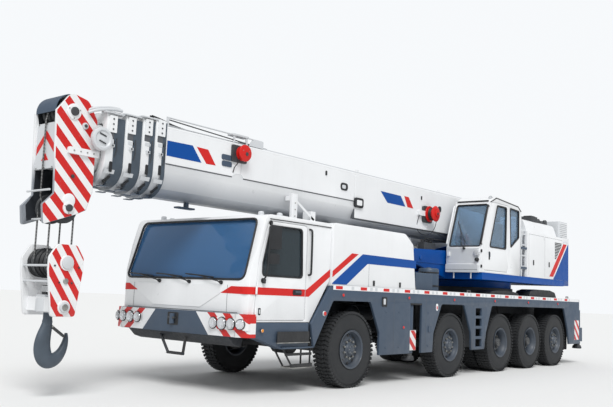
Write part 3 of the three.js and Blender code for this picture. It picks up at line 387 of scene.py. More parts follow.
class Shape:
    def __init__(self):
        self.mesh = bmesh.new()
        self.finishes = []

    def keep(self, faces, finish):
        if finish not in self.finishes:
            self.finishes.append(finish)
        for face in faces:
            face.material_index = self.finishes.index(finish)
        return self

    def ring(self, points):
        return [self.mesh.verts.new(point) for point in points]

    def circle(self, spin, along, radius, steps):
        if radius == 0:
            return self.ring([spin @ Vector((0, 0, along))])
        angles = [2 * math.pi * i / steps for i in range(steps)]
        return self.ring(spin @ Vector((radius * math.cos(a), radius * math.sin(a), along)) for a in angles)

    # walls from each ring of points to the next, and the two ends unless the rings go all the way round
    def skin(self, rings, finish, ends=True):
        makeFace = self.mesh.faces.new
        faces = [makeFace(rings[0][::-1]), makeFace(rings[-1])] if ends else []
        for first, second in zip(rings, rings[1:]):
            for i in range(len(first)):
                j = (i + 1) % len(first)
                faces.append(makeFace((first[i], first[j], second[j], second[i])))
        return self.keep(faces, finish)

    # an outline drawn in the two other axes, run along one axis from start to end
    def prism(self, axis, outline, start, end, finish, turn=None):
        turned = turnTo[axis].to_4x4() if turn is None else turn @ turnTo[axis].to_4x4()
        rings = [self.ring(turned @ Vector((a, b, depth)) for a, b in outline) for depth in (start, end)]
        return self.skin(rings, finish)

    def box(self, low, high, finish, turn=None):
        return self.prism("Z", rectangle(low[0], low[1], high[0], high[1]), low[2], high[2], finish, turn)

    # a profile of (along, radius) turned about a line from centre; a radius of 0 makes a pole
    def turned(self, profile, centre, axis, finish, steps=32):
        spin = facing(axis, centre)
        rings = [self.circle(spin, along, radius, steps) for along, radius in profile]
        faces = []
        for first, second in zip(rings, rings[1:]):
            for i, j in ((k, k + 1) for k in range(steps)):
                corners = [first[i % len(first)], first[j % len(first)], second[j % len(second)],
                    second[i % len(second)]]
                corners = list(dict.fromkeys(corners))
                if len(corners) > 2:
                    faces.append(self.mesh.faces.new(corners))
        faces += [self.mesh.faces.new(ring) for ring in (rings[0], rings[-1]) if len(ring) > 1]
        return self.keep(faces, finish)

    # a closed turned ring, such as a tyre: the last point joins the first
    def hoop(self, profile, centre, axis, finish, steps=64):
        spin = facing(axis, centre)
        rings = [self.circle(spin, along, radius, steps) for along, radius in profile]
        return self.skin(rings + rings[:1], finish, False)

    # a round tube along a route of points
    def pipe(self, route, radius, finish, sides=10):
        points = [Vector(p) for p in route]
        angles = [2 * math.pi * k / sides for k in range(sides)]
        rings = []
        across = None
        for i, point in enumerate(points):
            before = (point - points[i - 1]).normalized() if i else None
            after = (points[i + 1] - point).normalized() if i + 1 < len(points) else None
            along = ((before or after) + (after or before)).normalized()
            across = across or along.orthogonal().normalized()
            across = (across - along * across.dot(along)).normalized()
            second = along.cross(across)
            stretch = 1 / max(0.5, along.dot(before or after))
            spokes = [across * math.cos(angle) + second * math.sin(angle) for angle in angles]
            rings.append(self.ring(point + spoke * radius * stretch for spoke in spokes))
        return self.skin(rings, finish)

    # a tube that ends where it starts
    def seal(self, route, radius, finish, sides=8):
        return self.pipe(route + route[:1], radius, finish, sides)

    def piece(self, name, body, slotName, bevel=0.0, sharp=38, replaces=()):
        bmesh.ops.recalc_face_normals(self.mesh, faces=self.mesh.faces)
        bmesh.ops.translate(self.mesh, verts=self.mesh.verts, vec=(0, frontAxle, 0))
        mesh = bpy.data.meshes.new(name)
        self.mesh.to_mesh(mesh)
        self.mesh.free()
        for finish in self.finishes:
            mesh.materials.append(finish)
        mesh.shade_smooth()
        mesh.set_sharp_from_angle(angle=math.radians(sharp))
        made = addObject(name, mesh)
        if bevel:
            softenEdges(made, bevel, sharp)
        if body:
            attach(made, body)
        if replaces:
            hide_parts(*replaces)
        return made


# points of a tilted plane, given across, up and out of it
def onPlane(matrix, *points):
    return [matrix @ Vector(point) for point in points]


def arc(centre, radius, start, end, steps=8):
    angles = [math.radians(start + (end - start) * i / steps) for i in range(steps + 1)]
    return [(centre[0] + radius * math.cos(a), centre[1] + radius * math.sin(a)) for a in angles]


def rectangle(left, low, right, high):
    return [(left, low), (right, low), (right, high), (left, high)]


# an outline with its corners rounded: each point is (across, up) or (across, up, radius)
def softOutline(points, steps=4):
    result = []
    for i, point in enumerate(points):
        corner = Vector(point[:2])
        radius = point[2] if len(point) > 2 else 0
        if not radius:
            result.append(tuple(corner))
            continue
        before = (Vector(points[i - 1][:2]) - corner).normalized()
        after = (Vector(points[(i + 1) % len(points)][:2]) - corner).normalized()
        half = before.angle(after) / 2
        start = corner + before * radius / math.tan(half)
        end = corner + after * radius / math.tan(half)
        for t in (k / steps for k in range(steps + 1)):
            result.append(tuple(start * (1 - t) ** 2 + corner * 2 * t * (1 - t) + end * t * t))
    return result


def softRectangle(left, low, right, high, radius, steps=4):
    return softOutline([(*point, radius) for point in rectangle(left, low, right, high)], steps)


def softBox(shape, low, high, radius, finish, axis="Z"):
    a, b, c = {"X": (1, 2, 0), "Y": (0, 2, 1), "Z": (0, 1, 2)}[axis]
    return shape.prism(axis, softRectangle(low[a], low[b], high[a], high[b], radius), low[c], high[c],
        finish)


# a route with its corners cut again and again, so that it runs in one curve
def smoothed(route, rounds=2):
    points = [Vector(p) for p in route]
    for _ in range(rounds):
        cut = [points[0]]
        for a, b in zip(points, points[1:]):
            cut += [a.lerp(b, 0.25), a.lerp(b, 0.75)]
        points = cut + [points[-1]]
    return points


axlePlaces = [sum(corner.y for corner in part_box(f"wheel_{n}_left")) / 2 - frontAxle for n in range(1, 6)]
wheelHeight = sum(corner.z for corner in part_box("wheel_1_left")) / 2


class NodeTree:
    def __init__(self, name, **inputs):
        self.tree = bpy.data.node_groups.new(name, "GeometryNodeTree")
        self.tree.interface.new_socket("Geometry", in_out="OUTPUT", socket_type="NodeSocketGeometry")
        for label, kind in {**inputs, "Finish": "Material"}.items():
            self.tree.interface.new_socket(label, in_out="INPUT", socket_type="NodeSocket" + kind)
        self.given = self.tree.nodes.new("NodeGroupInput")
        self.out = self.tree.nodes.new("NodeGroupOutput")

    # an input given as a name is the tree's own input of that name
    def add(self, kind, inputs=None, family="GeometryNode", **settings):
        named = {key: self.given.outputs[value] if isinstance(value, str) else value for key,
            value in (inputs or {}).items()}
        return addNode(self.tree, kind, named, family, **settings).outputs[0]

    def finishWith(self, instances):
        real = self.add("RealizeInstances", {0: instances})
        painted = self.add("SetMaterial", {"Geometry": real, "Material": "Finish"})
        self.tree.links.new(painted, self.out.inputs[0])
        return self.tree


# bolts, nuts or holes on a line or a circle: the part is a cylinder of a few sides
def boltTree(name, spots, **inputs):
    t = NodeTree(name, Count="Int", Radius="Float", Height="Float", Sides="Int", **inputs)
    bolt = t.add("MeshCylinder", {"Vertices": "Sides", "Radius": "Radius", "Depth": "Height"})
    return t.finishWith(t.add("InstanceOnPoints", {"Points": t.add(*spots), "Instance": bolt}))


# boxes along a line, such as slats, rungs, ribs and steps
def slatTree():
    t = NodeTree("slatRow", Count="Int", Step="Vector", Size="Vector", Turn="Vector")
    line = t.add("MeshLine", {"Count": "Count", "Offset": "Step"})
    slat = t.add("MeshCube", {"Size": "Size"})
    return t.finishWith(t.add("InstanceOnPoints", {"Points": line, "Instance": slat, "Rotation": "Turn"}))


# tread lugs round a tyre whose axle runs along Z
def treadTree():
    t = NodeTree("treadLugs", Count="Int", Circle="Float", Size="Vector", Lean="Float", Place="Float")
    circle = t.add("MeshCircle", {"Vertices": "Count", "Radius": "Circle"})
    lug = t.add("MeshCube", {"Size": "Size"})
    outward = t.add("AlignEulerToVector", {"Vector": t.add("InputPosition")}, "FunctionNode", axis="X")
    lean = t.add("CombineXYZ", {"X": "Lean"}, "ShaderNode")
    turned = t.add("RotateEuler", {0: outward, 1: lean}, "FunctionNode", space="LOCAL")
    placed = t.add("InstanceOnPoints", {"Points": circle, "Instance": lug, "Rotation": turned})
    lift = t.add("CombineXYZ", {"Z": "Place"}, "ShaderNode")
    return t.finishWith(t.add("Transform", {"Geometry": placed, "Translation": lift}))


boltRing = boltTree("boltRing", ("MeshCircle", {"Vertices": "Count", "Radius": "Circle"}), Circle="Float")
boltLine = boltTree("boltLine", ("MeshLine", {"Count": "Count", "Offset": "Step"}), Step="Vector")
slatRow = slatTree()
treadLugs = treadTree()


# runs a tree with its named inputs and adds the plain mesh that comes out to a shape
def addRepeated(shape, tree, finish, matrix, **values):
    carrier = addObject("carrier", bpy.data.meshes.new("carrier"))
    modifier = carrier.modifiers.new("repeat", "NODES")
    modifier.node_group = tree
    values["Finish"] = finish
    for item in tree.interface.items_tree:
        if item.item_type == "SOCKET" and item.in_out == "INPUT":
            modifier[item.identifier] = values[item.name]
    graph = bpy.context.evaluated_depsgraph_get()
    made = bpy.data.meshes.new_from_object(carrier.evaluated_get(graph), depsgraph=graph)
    carrier.modifiers.clear()
    bpy.data.objects.remove(carrier)
    count = len(shape.mesh.faces)
    made.transform(matrix)
    shape.mesh.from_mesh(made)
    bpy.data.meshes.remove(made)
    shape.mesh.faces.ensure_lookup_table()
    return shape.keep(shape.mesh.faces[count:], finish)


# slats in a row, the first at start, each leaning by an angle in radians about X
def slatsFrom(shape, start, finish, count, step, size, lean=0.0):
    matrix = start if isinstance(start, Matrix) else Matrix.Translation(start)
    addRepeated(shape, slatRow, finish, matrix, Count=count, Step=step, Size=size, Turn=(lean, 0, 0))


# a plate with round corners laid on a face: width across, height up, standing out by depth
def plateOn(shape, centre, direction, width, height, depth, finish, radius=0.0, up=(0, 0, 1)):
    a, b = width / 2, height / 2
    return shape.prism("Z", softRectangle(-a, -b, a, b, radius), -sunk, depth, finish,
        standing(direction, centre, up))


# bolts in a line on a face, the first at start
def boltsOn(shape, start, direction, step, count, radius=0.012, height=0.012, finish=zinc):
    matrix = facing(direction, Vector(start) + Vector(direction).normalized() * height * 0.4)
    local = matrix.to_3x3().inverted() @ Vector(step)
    addRepeated(shape, boltLine, finish, matrix, Count=count, Step=tuple(local), Radius=radius,
        Height=height, Sides=6)


# a disc with a rounded rim, such as a hub cap or a lamp
def discOn(shape, centre, direction, radius, depth, finish, steps=32, rim=0.3):
    edge = min(depth, radius) * rim
    profile = [(-sunk, 0), (-sunk, radius), (depth - edge, radius),
        (depth - edge * 0.3, radius - edge * 0.3), (depth, radius - edge), (depth, 0)]
    return shape.turned(profile, centre, direction, finish, steps)


# discs on a side wall x out from the middle: how far proud, y, z, radius, depth, finish, steps, rim
def sideDiscs(shape, out, x, rows):
    for proud, y, z, *form in rows:
        discOn(shape, (out * (x + proud), y, z), (out, 0, 0), *form)


# plates on such a wall: y, z, width, height, depth, finish, corner radius
def sidePlates(shape, out, x, rows):
    for y, z, *form in rows:
        plateOn(shape, (out * x, y, z), (out, 0, 0), *form)


print("repeat trees built")

# wheels; rows of lugs are place, lean and length
tyre = {"radius": 0.611, "width": 0.315, "bead": 0.3, "lugs": 54, "lugDepth": 0.016, "sides": 96,
    "rows": ((-0.112, 0.42, 0.085), (-0.03, -0.35, 0.066), (0.03, 0.35, 0.066), (0.112, -0.42, 0.085))}
rim = {"hub": 0.105, "dish": 0.235, "nuts": 10, "nutCircle": 0.14405, "nutSize": 0.019, "handHoles": 10}
wheelFit = {"twinGap": 0.042, "twinDepth": 0.15, "twinReach": 0.11, "singleDepth": 0.06,
    "singleReach": 0.062}


# outer is the side wall's place along the axle, out is +1 or -1 along X
def addTyre(shape, outer, out, y):
    r, w, b = tyre["radius"], tyre["width"], tyre["bead"]
    crown = r - tyre["lugDepth"]
    wall = [(0.03, b - 0.012), (0.008, b + 0.02), (0.003, b + 0.06), (0.0, b + 0.115), (0.001, b + 0.165),
        (0.006, b + 0.205), (0.012, b + 0.222), (0.01, b + 0.229), (0.02, b + 0.262), (0.032, crown - 0.01),
        (0.052, crown - 0.002), (0.095, crown), (0.098, crown - 0.012), (0.106, crown - 0.012),
        (0.109, crown)]
    profile = wall + [(w - along, radius) for along, radius in wall[::-1]]
    placed = [(outer - out * along, radius) for along, radius in profile]
    shape.hoop(placed, (0, y, wheelHeight), "X", rubber, tyre["sides"])
    axle = shifted((outer - out * w / 2, y, wheelHeight), 90, "Y")
    for row, lean, half in tyre["rows"]:
        addRepeated(shape, treadLugs, rubber, axle, Count=tyre["lugs"], Circle=crown - 0.004,
            Size=(2 * tyre["lugDepth"] + 0.006, 0.046, half), Lean=lean, Place=row)


# the steel disc and rim; deep is how far the disc lies inside the tyre's outer side wall
def addRim(shape, outer, out, y, deep, hubReach, hubPaint):
    centre = (outer, y, wheelHeight)
    aim = (out, 0, 0)
    b, d, h = tyre["bead"], rim["dish"], rim["hub"]
    barrel = [(0.004, b + 0.012), (0.008, b + 0.004), (-0.006, b - 0.006), (-0.04, b - 0.012),
        (-0.06, b - 0.028), (-0.2, b - 0.036), (-0.28, b - 0.012), (-0.309, b + 0.01), (-0.309, b - 0.016),
        (-0.28, b - 0.03), (-0.2, b - 0.052), (-0.066, b - 0.046), (-0.044, b - 0.03), (-0.006, b - 0.02)]
    shape.hoop([(outer + out * along, radius) for along, radius in barrel], (0, y, wheelHeight), "X",
        rimGrey, 64)
    disc = [(-0.012, 0), (-0.012, 0.06), (-0.012, 0.15), (-0.04, d), (-0.052, b - 0.046),
        (-0.034, b - 0.046), (-0.024, d), (0.004, 0.15), (0.004, 0.05), (0.004, 0)]
    shape.turned([(along - deep, radius) for along, radius in disc], centre, aim, rimGrey, 48)
    nutRing = rim["nuts"], rim["nutCircle"]
    # hand holes, nuts, studs and hub bolts: place from the disc, finish, count, circle, radius, height, sides
    rings = [(-0.0265, black, rim["handHoles"], 0.216, 0.0235, 0.028, 16), (0.014, zinc, *nutRing,
        rim["nutSize"], 0.036, 6), (0.03, zinc, *nutRing, 0.009, 0.034, 10),
        (hubReach + 0.003, zinc, 8, h - 0.046, 0.007, 0.012, 6)]
    for place, finish, count, circle, radius, height, sides in rings:
        matrix = shifted((outer + out * (place - deep), y, wheelHeight), 90, "Y")
        addRepeated(shape, boltRing, finish, matrix, Count=count, Circle=circle, Radius=radius,
            Height=height, Sides=sides)
    hub = [(0, h + 0.012), (0.02, h + 0.01), (0.028, h - 0.008), (hubReach - 0.03, h - 0.012),
        (hubReach - 0.008, h - 0.02), (hubReach, h - 0.034), (hubReach, 0)]
    shape.turned([(along - deep, radius) for along, radius in hub], centre, aim, hubPaint, 40)


def makeWheels():
    for n, y in enumerate(axlePlaces, 1):
        for sideName, out in sideNames:
            node = f"wheel_{n}_{sideName}"
            low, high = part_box(node)
            outer = (high.x if out > 0 else low.x) - out * 0.002
            wheel = Shape()
            addTyre(wheel, outer, out, y)
            if high.x - low.x > 0.5:  # twin wheels
                addTyre(wheel, outer - out * (tyre["width"] + wheelFit["twinGap"]), out, y)
                addRim(wheel, outer, out, y, wheelFit["twinDepth"], wheelFit["twinReach"], dark)
                drum = [(-0.66, 0.0), (-0.66, 0.2), (-0.45, 0.21), (-0.16, 0.2), (-0.16, 0.0)]
            else:
                addRim(wheel, outer, out, y, wheelFit["singleDepth"], wheelFit["singleReach"], rimGrey)
                drum = [(-0.29, 0.0), (-0.29, 0.19), (-0.12, 0.2), (-0.07, 0.17), (-0.07, 0.0)]
            wheel.turned(drum, (outer, y, wheelHeight), (out, 0, 0), dark, 32)
            wheel.piece(f"road_wheel_{n}_{sideName}", node, "tyre", replaces=[node])


makeWheels()
print("wheels made")

# the carried nodes' own finishes
finishes = {"chassis_frame": underPaintAndShade, "deck": deckPlate, "left_skirt": grey, "right_skirt": grey,
    "cab_shell": white, "windscreen": screenGlass, "left_door": white, "right_door": white,
    "cab_interior": trimAndShade, "front_bumper": grey, "engine_cover": white, "boom_rest": white,
    "turntable": blue, "operator_cab": white, "operator_door": white, "operator_chair": seatCloth,
    "machinery_house": white, "hydraulic_tank": cream, "counterweight": blue, "hoist_falls": rope,
    "hook_block": white, "crane_hook": slate, "luff_barrel": white, "luff_rod": steel}
families = {"boom": boomPaintShadedBelow, "outrigger_beam": grey}  # by the start of the name; the rest are dark
edges = {"width": 0.004, "angle": 28, "joined": 0.00002, "flat": 0.4}


def dressNodes():
    for name, node in nodes.items():
        ofFamily = [paint for start, paint in families.items() if name.startswith(start)]
        node.data.materials.clear()
        node.data.materials.append(finishes.get(name, (ofFamily + [dark])[0]))
        if node.hide_render:
            continue
        node.data.shade_smooth()
        node.modifiers.new("joined", "WELD").merge_threshold = edges["joined"]
        merged = node.modifiers.new("flatFaces", "DECIMATE")
        merged.decimate_type = "DISSOLVE"
        merged.angle_limit = math.radians(edges["flat"])
        softenEdges(node, edges["width"], edges["angle"]).use_clamp_overlap = False


dressNodes()
print("carried nodes dressed")

# boom, in the rest position: what is fixed to the outside of each section
boomSkin = {"side": 0.43, "plate": 0.01, "low": 3.25, "high": 3.745, "drop": 2.93, "rear": 7.6,
    "paint": 0.0025}
sidePanels = [[(-3.22, 3.25), (-1.88, 3.25), (-1.8, 3.3), (-1.71, 3.3), (-1.71, 3.745), (-3.22, 3.745)],
    [(-1.68, 3.3), (-1.63, 3.25), (1.31, 3.25), (1.31, 3.745), (-1.68, 3.745)], [(1.34, 2.93), (7.6, 2.93),
    (7.6, 3.745), (1.34, 3.745)]]
boomFields = {"blue": ([(-3.2, 3.58), (-2.72, 3.59), (-2.53, 3.36), (-3.2, 3.36)], [(2.17, 3.545),
    (2.89, 3.535), (3.07, 3.335), (2.42, 3.34)]), "red": ([(-2.64, 3.585), (-2.41, 3.58), (-2.24, 3.365),
    (-2.43, 3.36)], [(3.02, 3.55), (3.19, 3.545), (3.37, 3.33), (3.15, 3.335)])}


def makeBoomSides():
    for sideName, out in sideNames:
        panels = Shape()
        skin = out * (boomSkin["side"] + boomSkin["plate"])
        for outline in sidePanels[:2]:
            panels.prism("X", outline, out * (boomSkin["side"] - 0.004), skin, white)
        panels.prism("X", sidePanels[2], out * 0.36, skin, white)
        panels.piece(f"boom_side_plates_{sideName}", "boom_1", "white_paint", bevel=0.004)

        shade = Shape()  # dark strips painted as the shadow under the plates' lower edges and beside their upright edge at the drop, with the side fittings
        for y0, y1, z in ((-3.2, -1.88, 3.25), (-1.63, 1.31, 3.25), (1.36, 7.58, 2.93)):
            start = boomSkin["side"] - 0.06 if z < 3 else boomSkin["side"] - 0.002
            shade.box((out * start, y0, z - 0.017), (skin - out * 0.001, y1, z - 0.001), trimAndShade)
        shade.box((out * 0.36, 1.325, 2.915), (skin - out * 0.001, 1.338, 3.1), trimAndShade)
        sidePlates(shade, out, abs(skin), [(-2.02, 3.525, 0.21, 0.085, 0.012, grey, 0.03),
            (-2.01, 3.425, 0.21, 0.085, 0.012, grey, 0.03), (0.99, 3.47, 0.21, 0.135, 0.014, black, 0.06),
            (0.97, 3.465, 0.11, 0.07, 0.02, cream, 0.03),
            (0.45, 3.645, 0.045, 0.085, 0.012, black, 0.02025),
            (3.68, 3.59, 0.04, 0.08, 0.012, black, 0.018), (4.43, 3.43, 0.13, 0.13, 0.012, black, 0.0585),
            (1.44, 3.22, 0.27, 0.185, 0.035, black, 0.05), (1.44, 3.22, 0.16, 0.1, 0.042, white, 0.02)])
        shade.piece(f"boom_side_fittings_and_shadow_strips_{sideName}", "boom_1", "dark_metal", bevel=0.003)

        livery = Shape()
        for finish, name in ((blue, "blue"), (red, "red")):
            for outline in boomFields[name]:
                livery.prism("X", outline, skin - out * 0.001, skin + out * boomSkin["paint"], finish)
        livery.piece(f"boom_colour_fields_{sideName}", "boom_1", "blue_paint")


reel = {"x": 0.44, "front": (-1.73, 3.63), "rear": (3.95, 3.27)}


def makeReels():
    y, z = reel["front"]
    x = reel["x"]
    front = Shape()
    softBox(front, (x - 0.01, y - 0.2, z - 0.15), (x + 0.03, y + 0.13, z + 0.12), 0.03, dark, "X")
    front.turned([(0, 0.0), (0, 0.115), (0.02, 0.118), (0.02, 0.095), (0.075, 0.095), (0.075, 0.128),
        (0.095, 0.135), (0.11, 0.128), (0.118, 0.09), (0.126, 0.03), (0.126, 0)], (x + 0.02, y, z), "X",
        red, 40)
    discOn(front, (x + 0.142, y + 0.01, z - 0.015), (1, 0, 0), 0.03, 0.014, dark)
    boltsOn(front, (x + 0.134, y + 0.065, z + 0.035), (1, 0, 0), (0, -0.13, 0), 2, 0.008, 0.012)
    front.pipe([(x + 0.05, y - 0.05, z - 0.1), (x + 0.05, y - 0.1, z - 0.18),
        (x + 0.02, y - 0.13, z - 0.24), (x + 0.005, y - 0.14, z - 0.32)], 0.008, black, 8)
    front.piece("cable_reel_front", "boom_1", "white_paint", bevel=0.003)

    y, z = reel["rear"]
    rear = Shape()
    softBox(rear, (x - 0.01, y - 0.42, z - 0.06), (x + 0.06, y - 0.02, z + 0.05), 0.02, white, "X")
    softBox(rear, (x - 0.01, y - 0.24, z - 0.19), (x + 0.05, y + 0.1, z + 0.16), 0.05, dark, "X")
    rear.turned([(0, 0.0), (0, 0.165), (0.018, 0.172), (0.03, 0.165), (0.03, 0.125), (0.15, 0.125),
        (0.15, 0.16), (0.165, 0.168), (0.18, 0.15), (0.19, 0.1), (0.19, 0)], (x + 0.05, y - 0.03, z), "X",
        red, 48)
    discOn(rear, (x + 0.238, y - 0.02, z), (1, 0, 0), 0.075, 0.022, red)
    discOn(rear, (x + 0.258, y - 0.02, z), (1, 0, 0), 0.026, 0.014, dark)
    rear.hoop([(x + 0.095 + dx, 0.128 + dr) for dx, dr in ((0, 0), (0.012, 0.01), (0.024, 0), (0.036, 0.01),
        (0.048, 0), (0.06, 0.01), (0.072, 0), (0.072, -0.01), (0, -0.01))], (0, y - 0.03, z), "X", black,
        40)
    rear.piece("cable_reel_rear", "boom_1", "white_paint", bevel=0.003)
    lead = Shape()
    drop = [(x + 0.12, y + 0.13, z - 0.02), (x + 0.1, y + 0.2, z - 0.12), (x + 0.07, y + 0.2, z - 0.26),
        (x + 0.04, y + 0.1, z - 0.4), (x + 0.01, y - 0.1, z - 0.46), (x - 0.01, y - 0.3, z - 0.43),
        (x - 0.02, y - 0.42, z - 0.33), (x + 0.008, y - 0.42, z - 0.2), (x + 0.02, y - 0.36, z - 0.05)]
    lead.pipe(smoothed(drop, 3), 0.007, black, 8)
    lead.piece("reel_lead", "boom_1", "dark_metal")


def makeBoomUnderside():
    under = Shape()
    under.box((-0.03, -2.43, 2.715), (0.03, -2.37, 2.8), grey)
    softBox(under, (-0.06, -2.6, 2.69), (0.06, -2.26, 2.715), 0.02, grey, "Z")
    for y in (-0.2, 0.9, 5.2):
        softBox(under, (-0.16, y - 0.1, 2.772), (0.16, y + 0.1, 2.795), 0.03, grey, "Z")
    under.piece("boom_keel_guides", "boom_1", "grey_paint", bevel=0.004)
    post = Shape()
    softBox(post, (0.535, -0.61, 2.685), (0.6, -0.475, 3.135), 0.012, white, "Z")
    post.box((0.425, -0.6, 3.02), (0.54, -0.49, 3.1), white)
    post.prism("X", [(-0.5, 3.06), (-0.42, 3.06), (0.08, 2.77), (0.05, 2.73)], 0.5, 0.52, white)
    post.prism("X", [(-0.02, 2.72), (0.1, 2.72), (0.1, 2.9), (-0.02, 2.9)], 0.33, 0.52, white)
    boltsOn(post, (0.6, -0.542, 2.76), (1, 0, 0), (0, 0, 0.11), 3, 0.012, 0.014)
    post.piece("boom_side_post", "boom_1", "white_paint", bevel=0.004)


collar = {"mouths": (-3.42, -3.63, -3.9, -4.195), "length": 0.19, "half": 0.454, "top": 3.866,
    "bottom": 2.748, "shrink": 0.0231, "keel": 0.33, "keelShrink": 0.0168,
    "padTops": (3.84, 3.82, 3.79, 3.76)}


def makeCollars():
    for level, mouth in enumerate(collar["mouths"], 1):
        shrunk = (level - 1) * collar["shrink"]
        half, low, high = collar["half"] - shrunk, collar["bottom"] + shrunk, collar["top"] - shrunk
        padTop = collar["padTops"][level - 1]
        curve = min(collar["keel"] - (level - 1) * collar["keelShrink"], half - 0.03)
        middle = mouth + collar["length"] / 2
        fitted = Shape()
        for out in bothSides:
            aim = (out, 0, 0)
            # below each pad, a dark plate painted as the shade of a recess
            sidePlates(fitted, out, half,
                [(middle - 0.005, padTop - 0.115, 0.125, 0.23, 0.02, white, 0.012),
                (middle, padTop - 0.275, 0.13, 0.09, 0.003, trimAndShade, 0.01),
                (middle, padTop - 0.36, 0.1, 0.05, 0.004, cream, 0.01), (middle + 0.005,
                3.145 - 0.02 * level, 0.052, 0.145, 0.004, black, 0.024)])
            boltsOn(fitted, (out * (half + 0.018), middle - 0.005, padTop - 0.045), aim, (0, 0, -0.07), 3,
                0.013, 0.012, dark)
            for across, down, proud, *form in ((0.72, -0.69, 0.002, 0.05, 0.135, 0.004, black, 0.023,
                    (0, 0.35, 1)), (0.94, -0.34, 0.001, 0.16, 0.06, 0.003, cream, 0.01)):
                slope = Vector((out * across, 0, down)).normalized()
                spot = Vector((out * (half - curve), middle, low + curve)) + slope * (curve + proud)
                plateOn(fitted, spot, slope, *form)
            # clamp blocks and a grease pipe between the pads
            fitted.box((out * half, middle - 0.03, 3.33), (out * (half + 0.028), middle + 0.03, 3.37),
                cream)
            discOn(fitted, (out * (half + 0.026), middle, 3.35), aim, 0.013, 0.012, dark, steps=12)
            fitted.pipe([(out * (half + 0.008), middle + 0.07, padTop - 0.3), (out * (half + 0.012),
                middle + 0.075, 3.3), (out * (half + 0.008), middle + 0.05, 3.2)], 0.007, dark, 8)
        # dark slate bands painted as the shade in the gap behind the pads, round each lower corner
        behind = collar["mouths"][level - 2] - 0.002 if level > 1 else mouth + collar["length"]
        for out in bothSides:
            centre = (half - curve, low + curve)
            shell = [(half + 0.004, padTop - 0.02)] + arc(centre, curve + 0.004, 0, -78, 10)
            shell += arc(centre, curve - 0.004, -78, 0, 10) + [(half - 0.004, padTop - 0.02)]
            fitted.prism("Y", [(out * x, z) for x, z in shell], mouth + 0.122, behind, slate)
        for x in (-0.3, -0.1, 0.1, 0.3):
            softBox(fitted, (x - 0.06, middle - 0.075, high), (x + 0.06, middle + 0.075, high + 0.018),
                0.012, cream, "Z")
            boltsOn(fitted, (x, middle - 0.04, high + 0.014), (0, 0, 1), (0, 0.08, 0), 2, 0.011, 0.012,
                dark)
        for x in (-0.22, 0, 0.22):
            softBox(fitted, (x - 0.05, middle - 0.06, low - 0.01), (x + 0.05, middle + 0.06, low), 0.012,
                grey, "Z")
        if level > 1:  # shelves that carry the hoses between the collars
            for left, right in ((half - 0.09, half + 0.035), (-half - 0.035, 0.09 - half)):
                softBox(fitted, (left, mouth - 0.05, high - 0.012), (right, mouth + 0.26, high + 0.006),
                    0.02, cream)
        fitted.piece(f"collar_fittings_{level}", f"boom_{level}", "white_paint", bevel=0.003)


topGear = {"ropeHeight": 3.912, "ropeRadius": 0.011, "rollerPlaces": (-1.3, 1.8, 4.9, 7.55)}


def makeTopGear():
    height, radius = topGear["ropeHeight"], topGear["ropeRadius"]
    guides = Shape()
    for y in topGear["rollerPlaces"]:
        for x in (-0.14, 0.11):
            guides.prism("X", [(y - 0.06, 3.798), (y + 0.06, 3.798), (y + 0.03, 3.93), (y - 0.03, 3.93)], x,
                x + 0.03, white)
        guides.turned([(-0.125, 0.018), (-0.11, 0.032), (-0.06, 0.025), (0.06, 0.025), (0.11, 0.032),
            (0.125, 0.018)], (0, y, height - 0.037), "X", dark, 20)
    # the frame over the front roller, open at the top
    for x in (-0.3, 0.24):
        softBox(guides, (x, -1.62, 3.8), (x + 0.025, -0.92, 3.86), 0.02, grey, "X")
    for y in (-1.6, -0.98):
        guides.box((-0.29, y, 3.825), (0.26, y + 0.03, 3.845), grey)
    softBox(guides, (0.28, -1.88, 3.912), (0.42, -1.52, 3.942), 0.02, cream, "Z")
    guides.prism("X", softOutline([(-1.52, 3.8, 0.01), (-1.18, 3.8, 0.01), (-1.18, 3.925, 0.03),
        (-1.4, 3.925, 0.03)]), 0.385, 0.415, cream)
    for start in (-3.2, -1.86, -1.58):
        guides.box((0.39, start, 3.795), (0.41, start + 0.04, 3.93), cream)
    guides.pipe([(0.4, -3.2, 3.925), (0.4, -1.2, 3.918)], 0.012, cream, 8)
    guides.pipe([(0.4, -3.18, 3.895), (0.4, -1.3, 3.815)], 0.01, dark, 8)
    guides.piece("rope_guides", "boom_1", "white_paint", bevel=0.003)
    ropes = Shape()
    ropes.pipe([(0.0, 7.95, height - 0.02), (0.0, 7.5, height), (0.0, 2.0, height), (0.0, -3.35, height)],
        radius, rope, 10)
    for x in (0.24, 0.28):
        ropes.pipe(smoothed([(x, -1.6, 3.832), (x, -2.2, 3.815), (x, -2.9, 3.84), (x, -3.2, 3.905),
            (x, -3.38, 3.925)]), 0.012, black, 8)
    for x in (-0.33, 0.33):
        ropes.pipe([(x, -3.2, 3.83), (x, -2.9, 3.818), (x, 7.3, 3.818)], 0.016, cream, 10)
    ropes.piece("boom_top_ropes", "boom_1", "dark_metal")
    nose = Shape()
    nose.pipe([(0.0, -3.45, height), (0.0, -4.45, height - 0.006), (0.0, -4.62, height - 0.012),
        (0.0, -4.76, height - 0.068), (0.0, -4.832, height - 0.15), (0.0, -4.868, height - 0.32),
        (0.0, -4.862, 2.6), (0.0, -4.815, 2.45)], radius, rope, 10)
    for x, z in ((0.3, 3.83), (0.36, 3.8)):
        nose.pipe(smoothed([(x - 0.06, -4.44, z - 0.05), (x, -4.34, z), (x, -4.1, z + 0.055),
            (x, -3.95, z + 0.06)]), 0.022, cream, 12)
    nose.piece("head_rope_and_hoses", "boom_5", "steel")
    climb = Shape()  # from the drum up over the boom's foot
    climb.pipe(smoothed([(0.0, 8.658, 2.45), (0.0, 8.655, 2.9), (0.0, 8.6, 3.5), (0.0, 8.44, 3.8),
        (0.0, 8.2, 3.89), (0.0, 7.96, height - 0.02)], 3), radius, rope, 10)
    made = climb.piece("rope_to_drum", None, "steel")
    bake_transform(made)


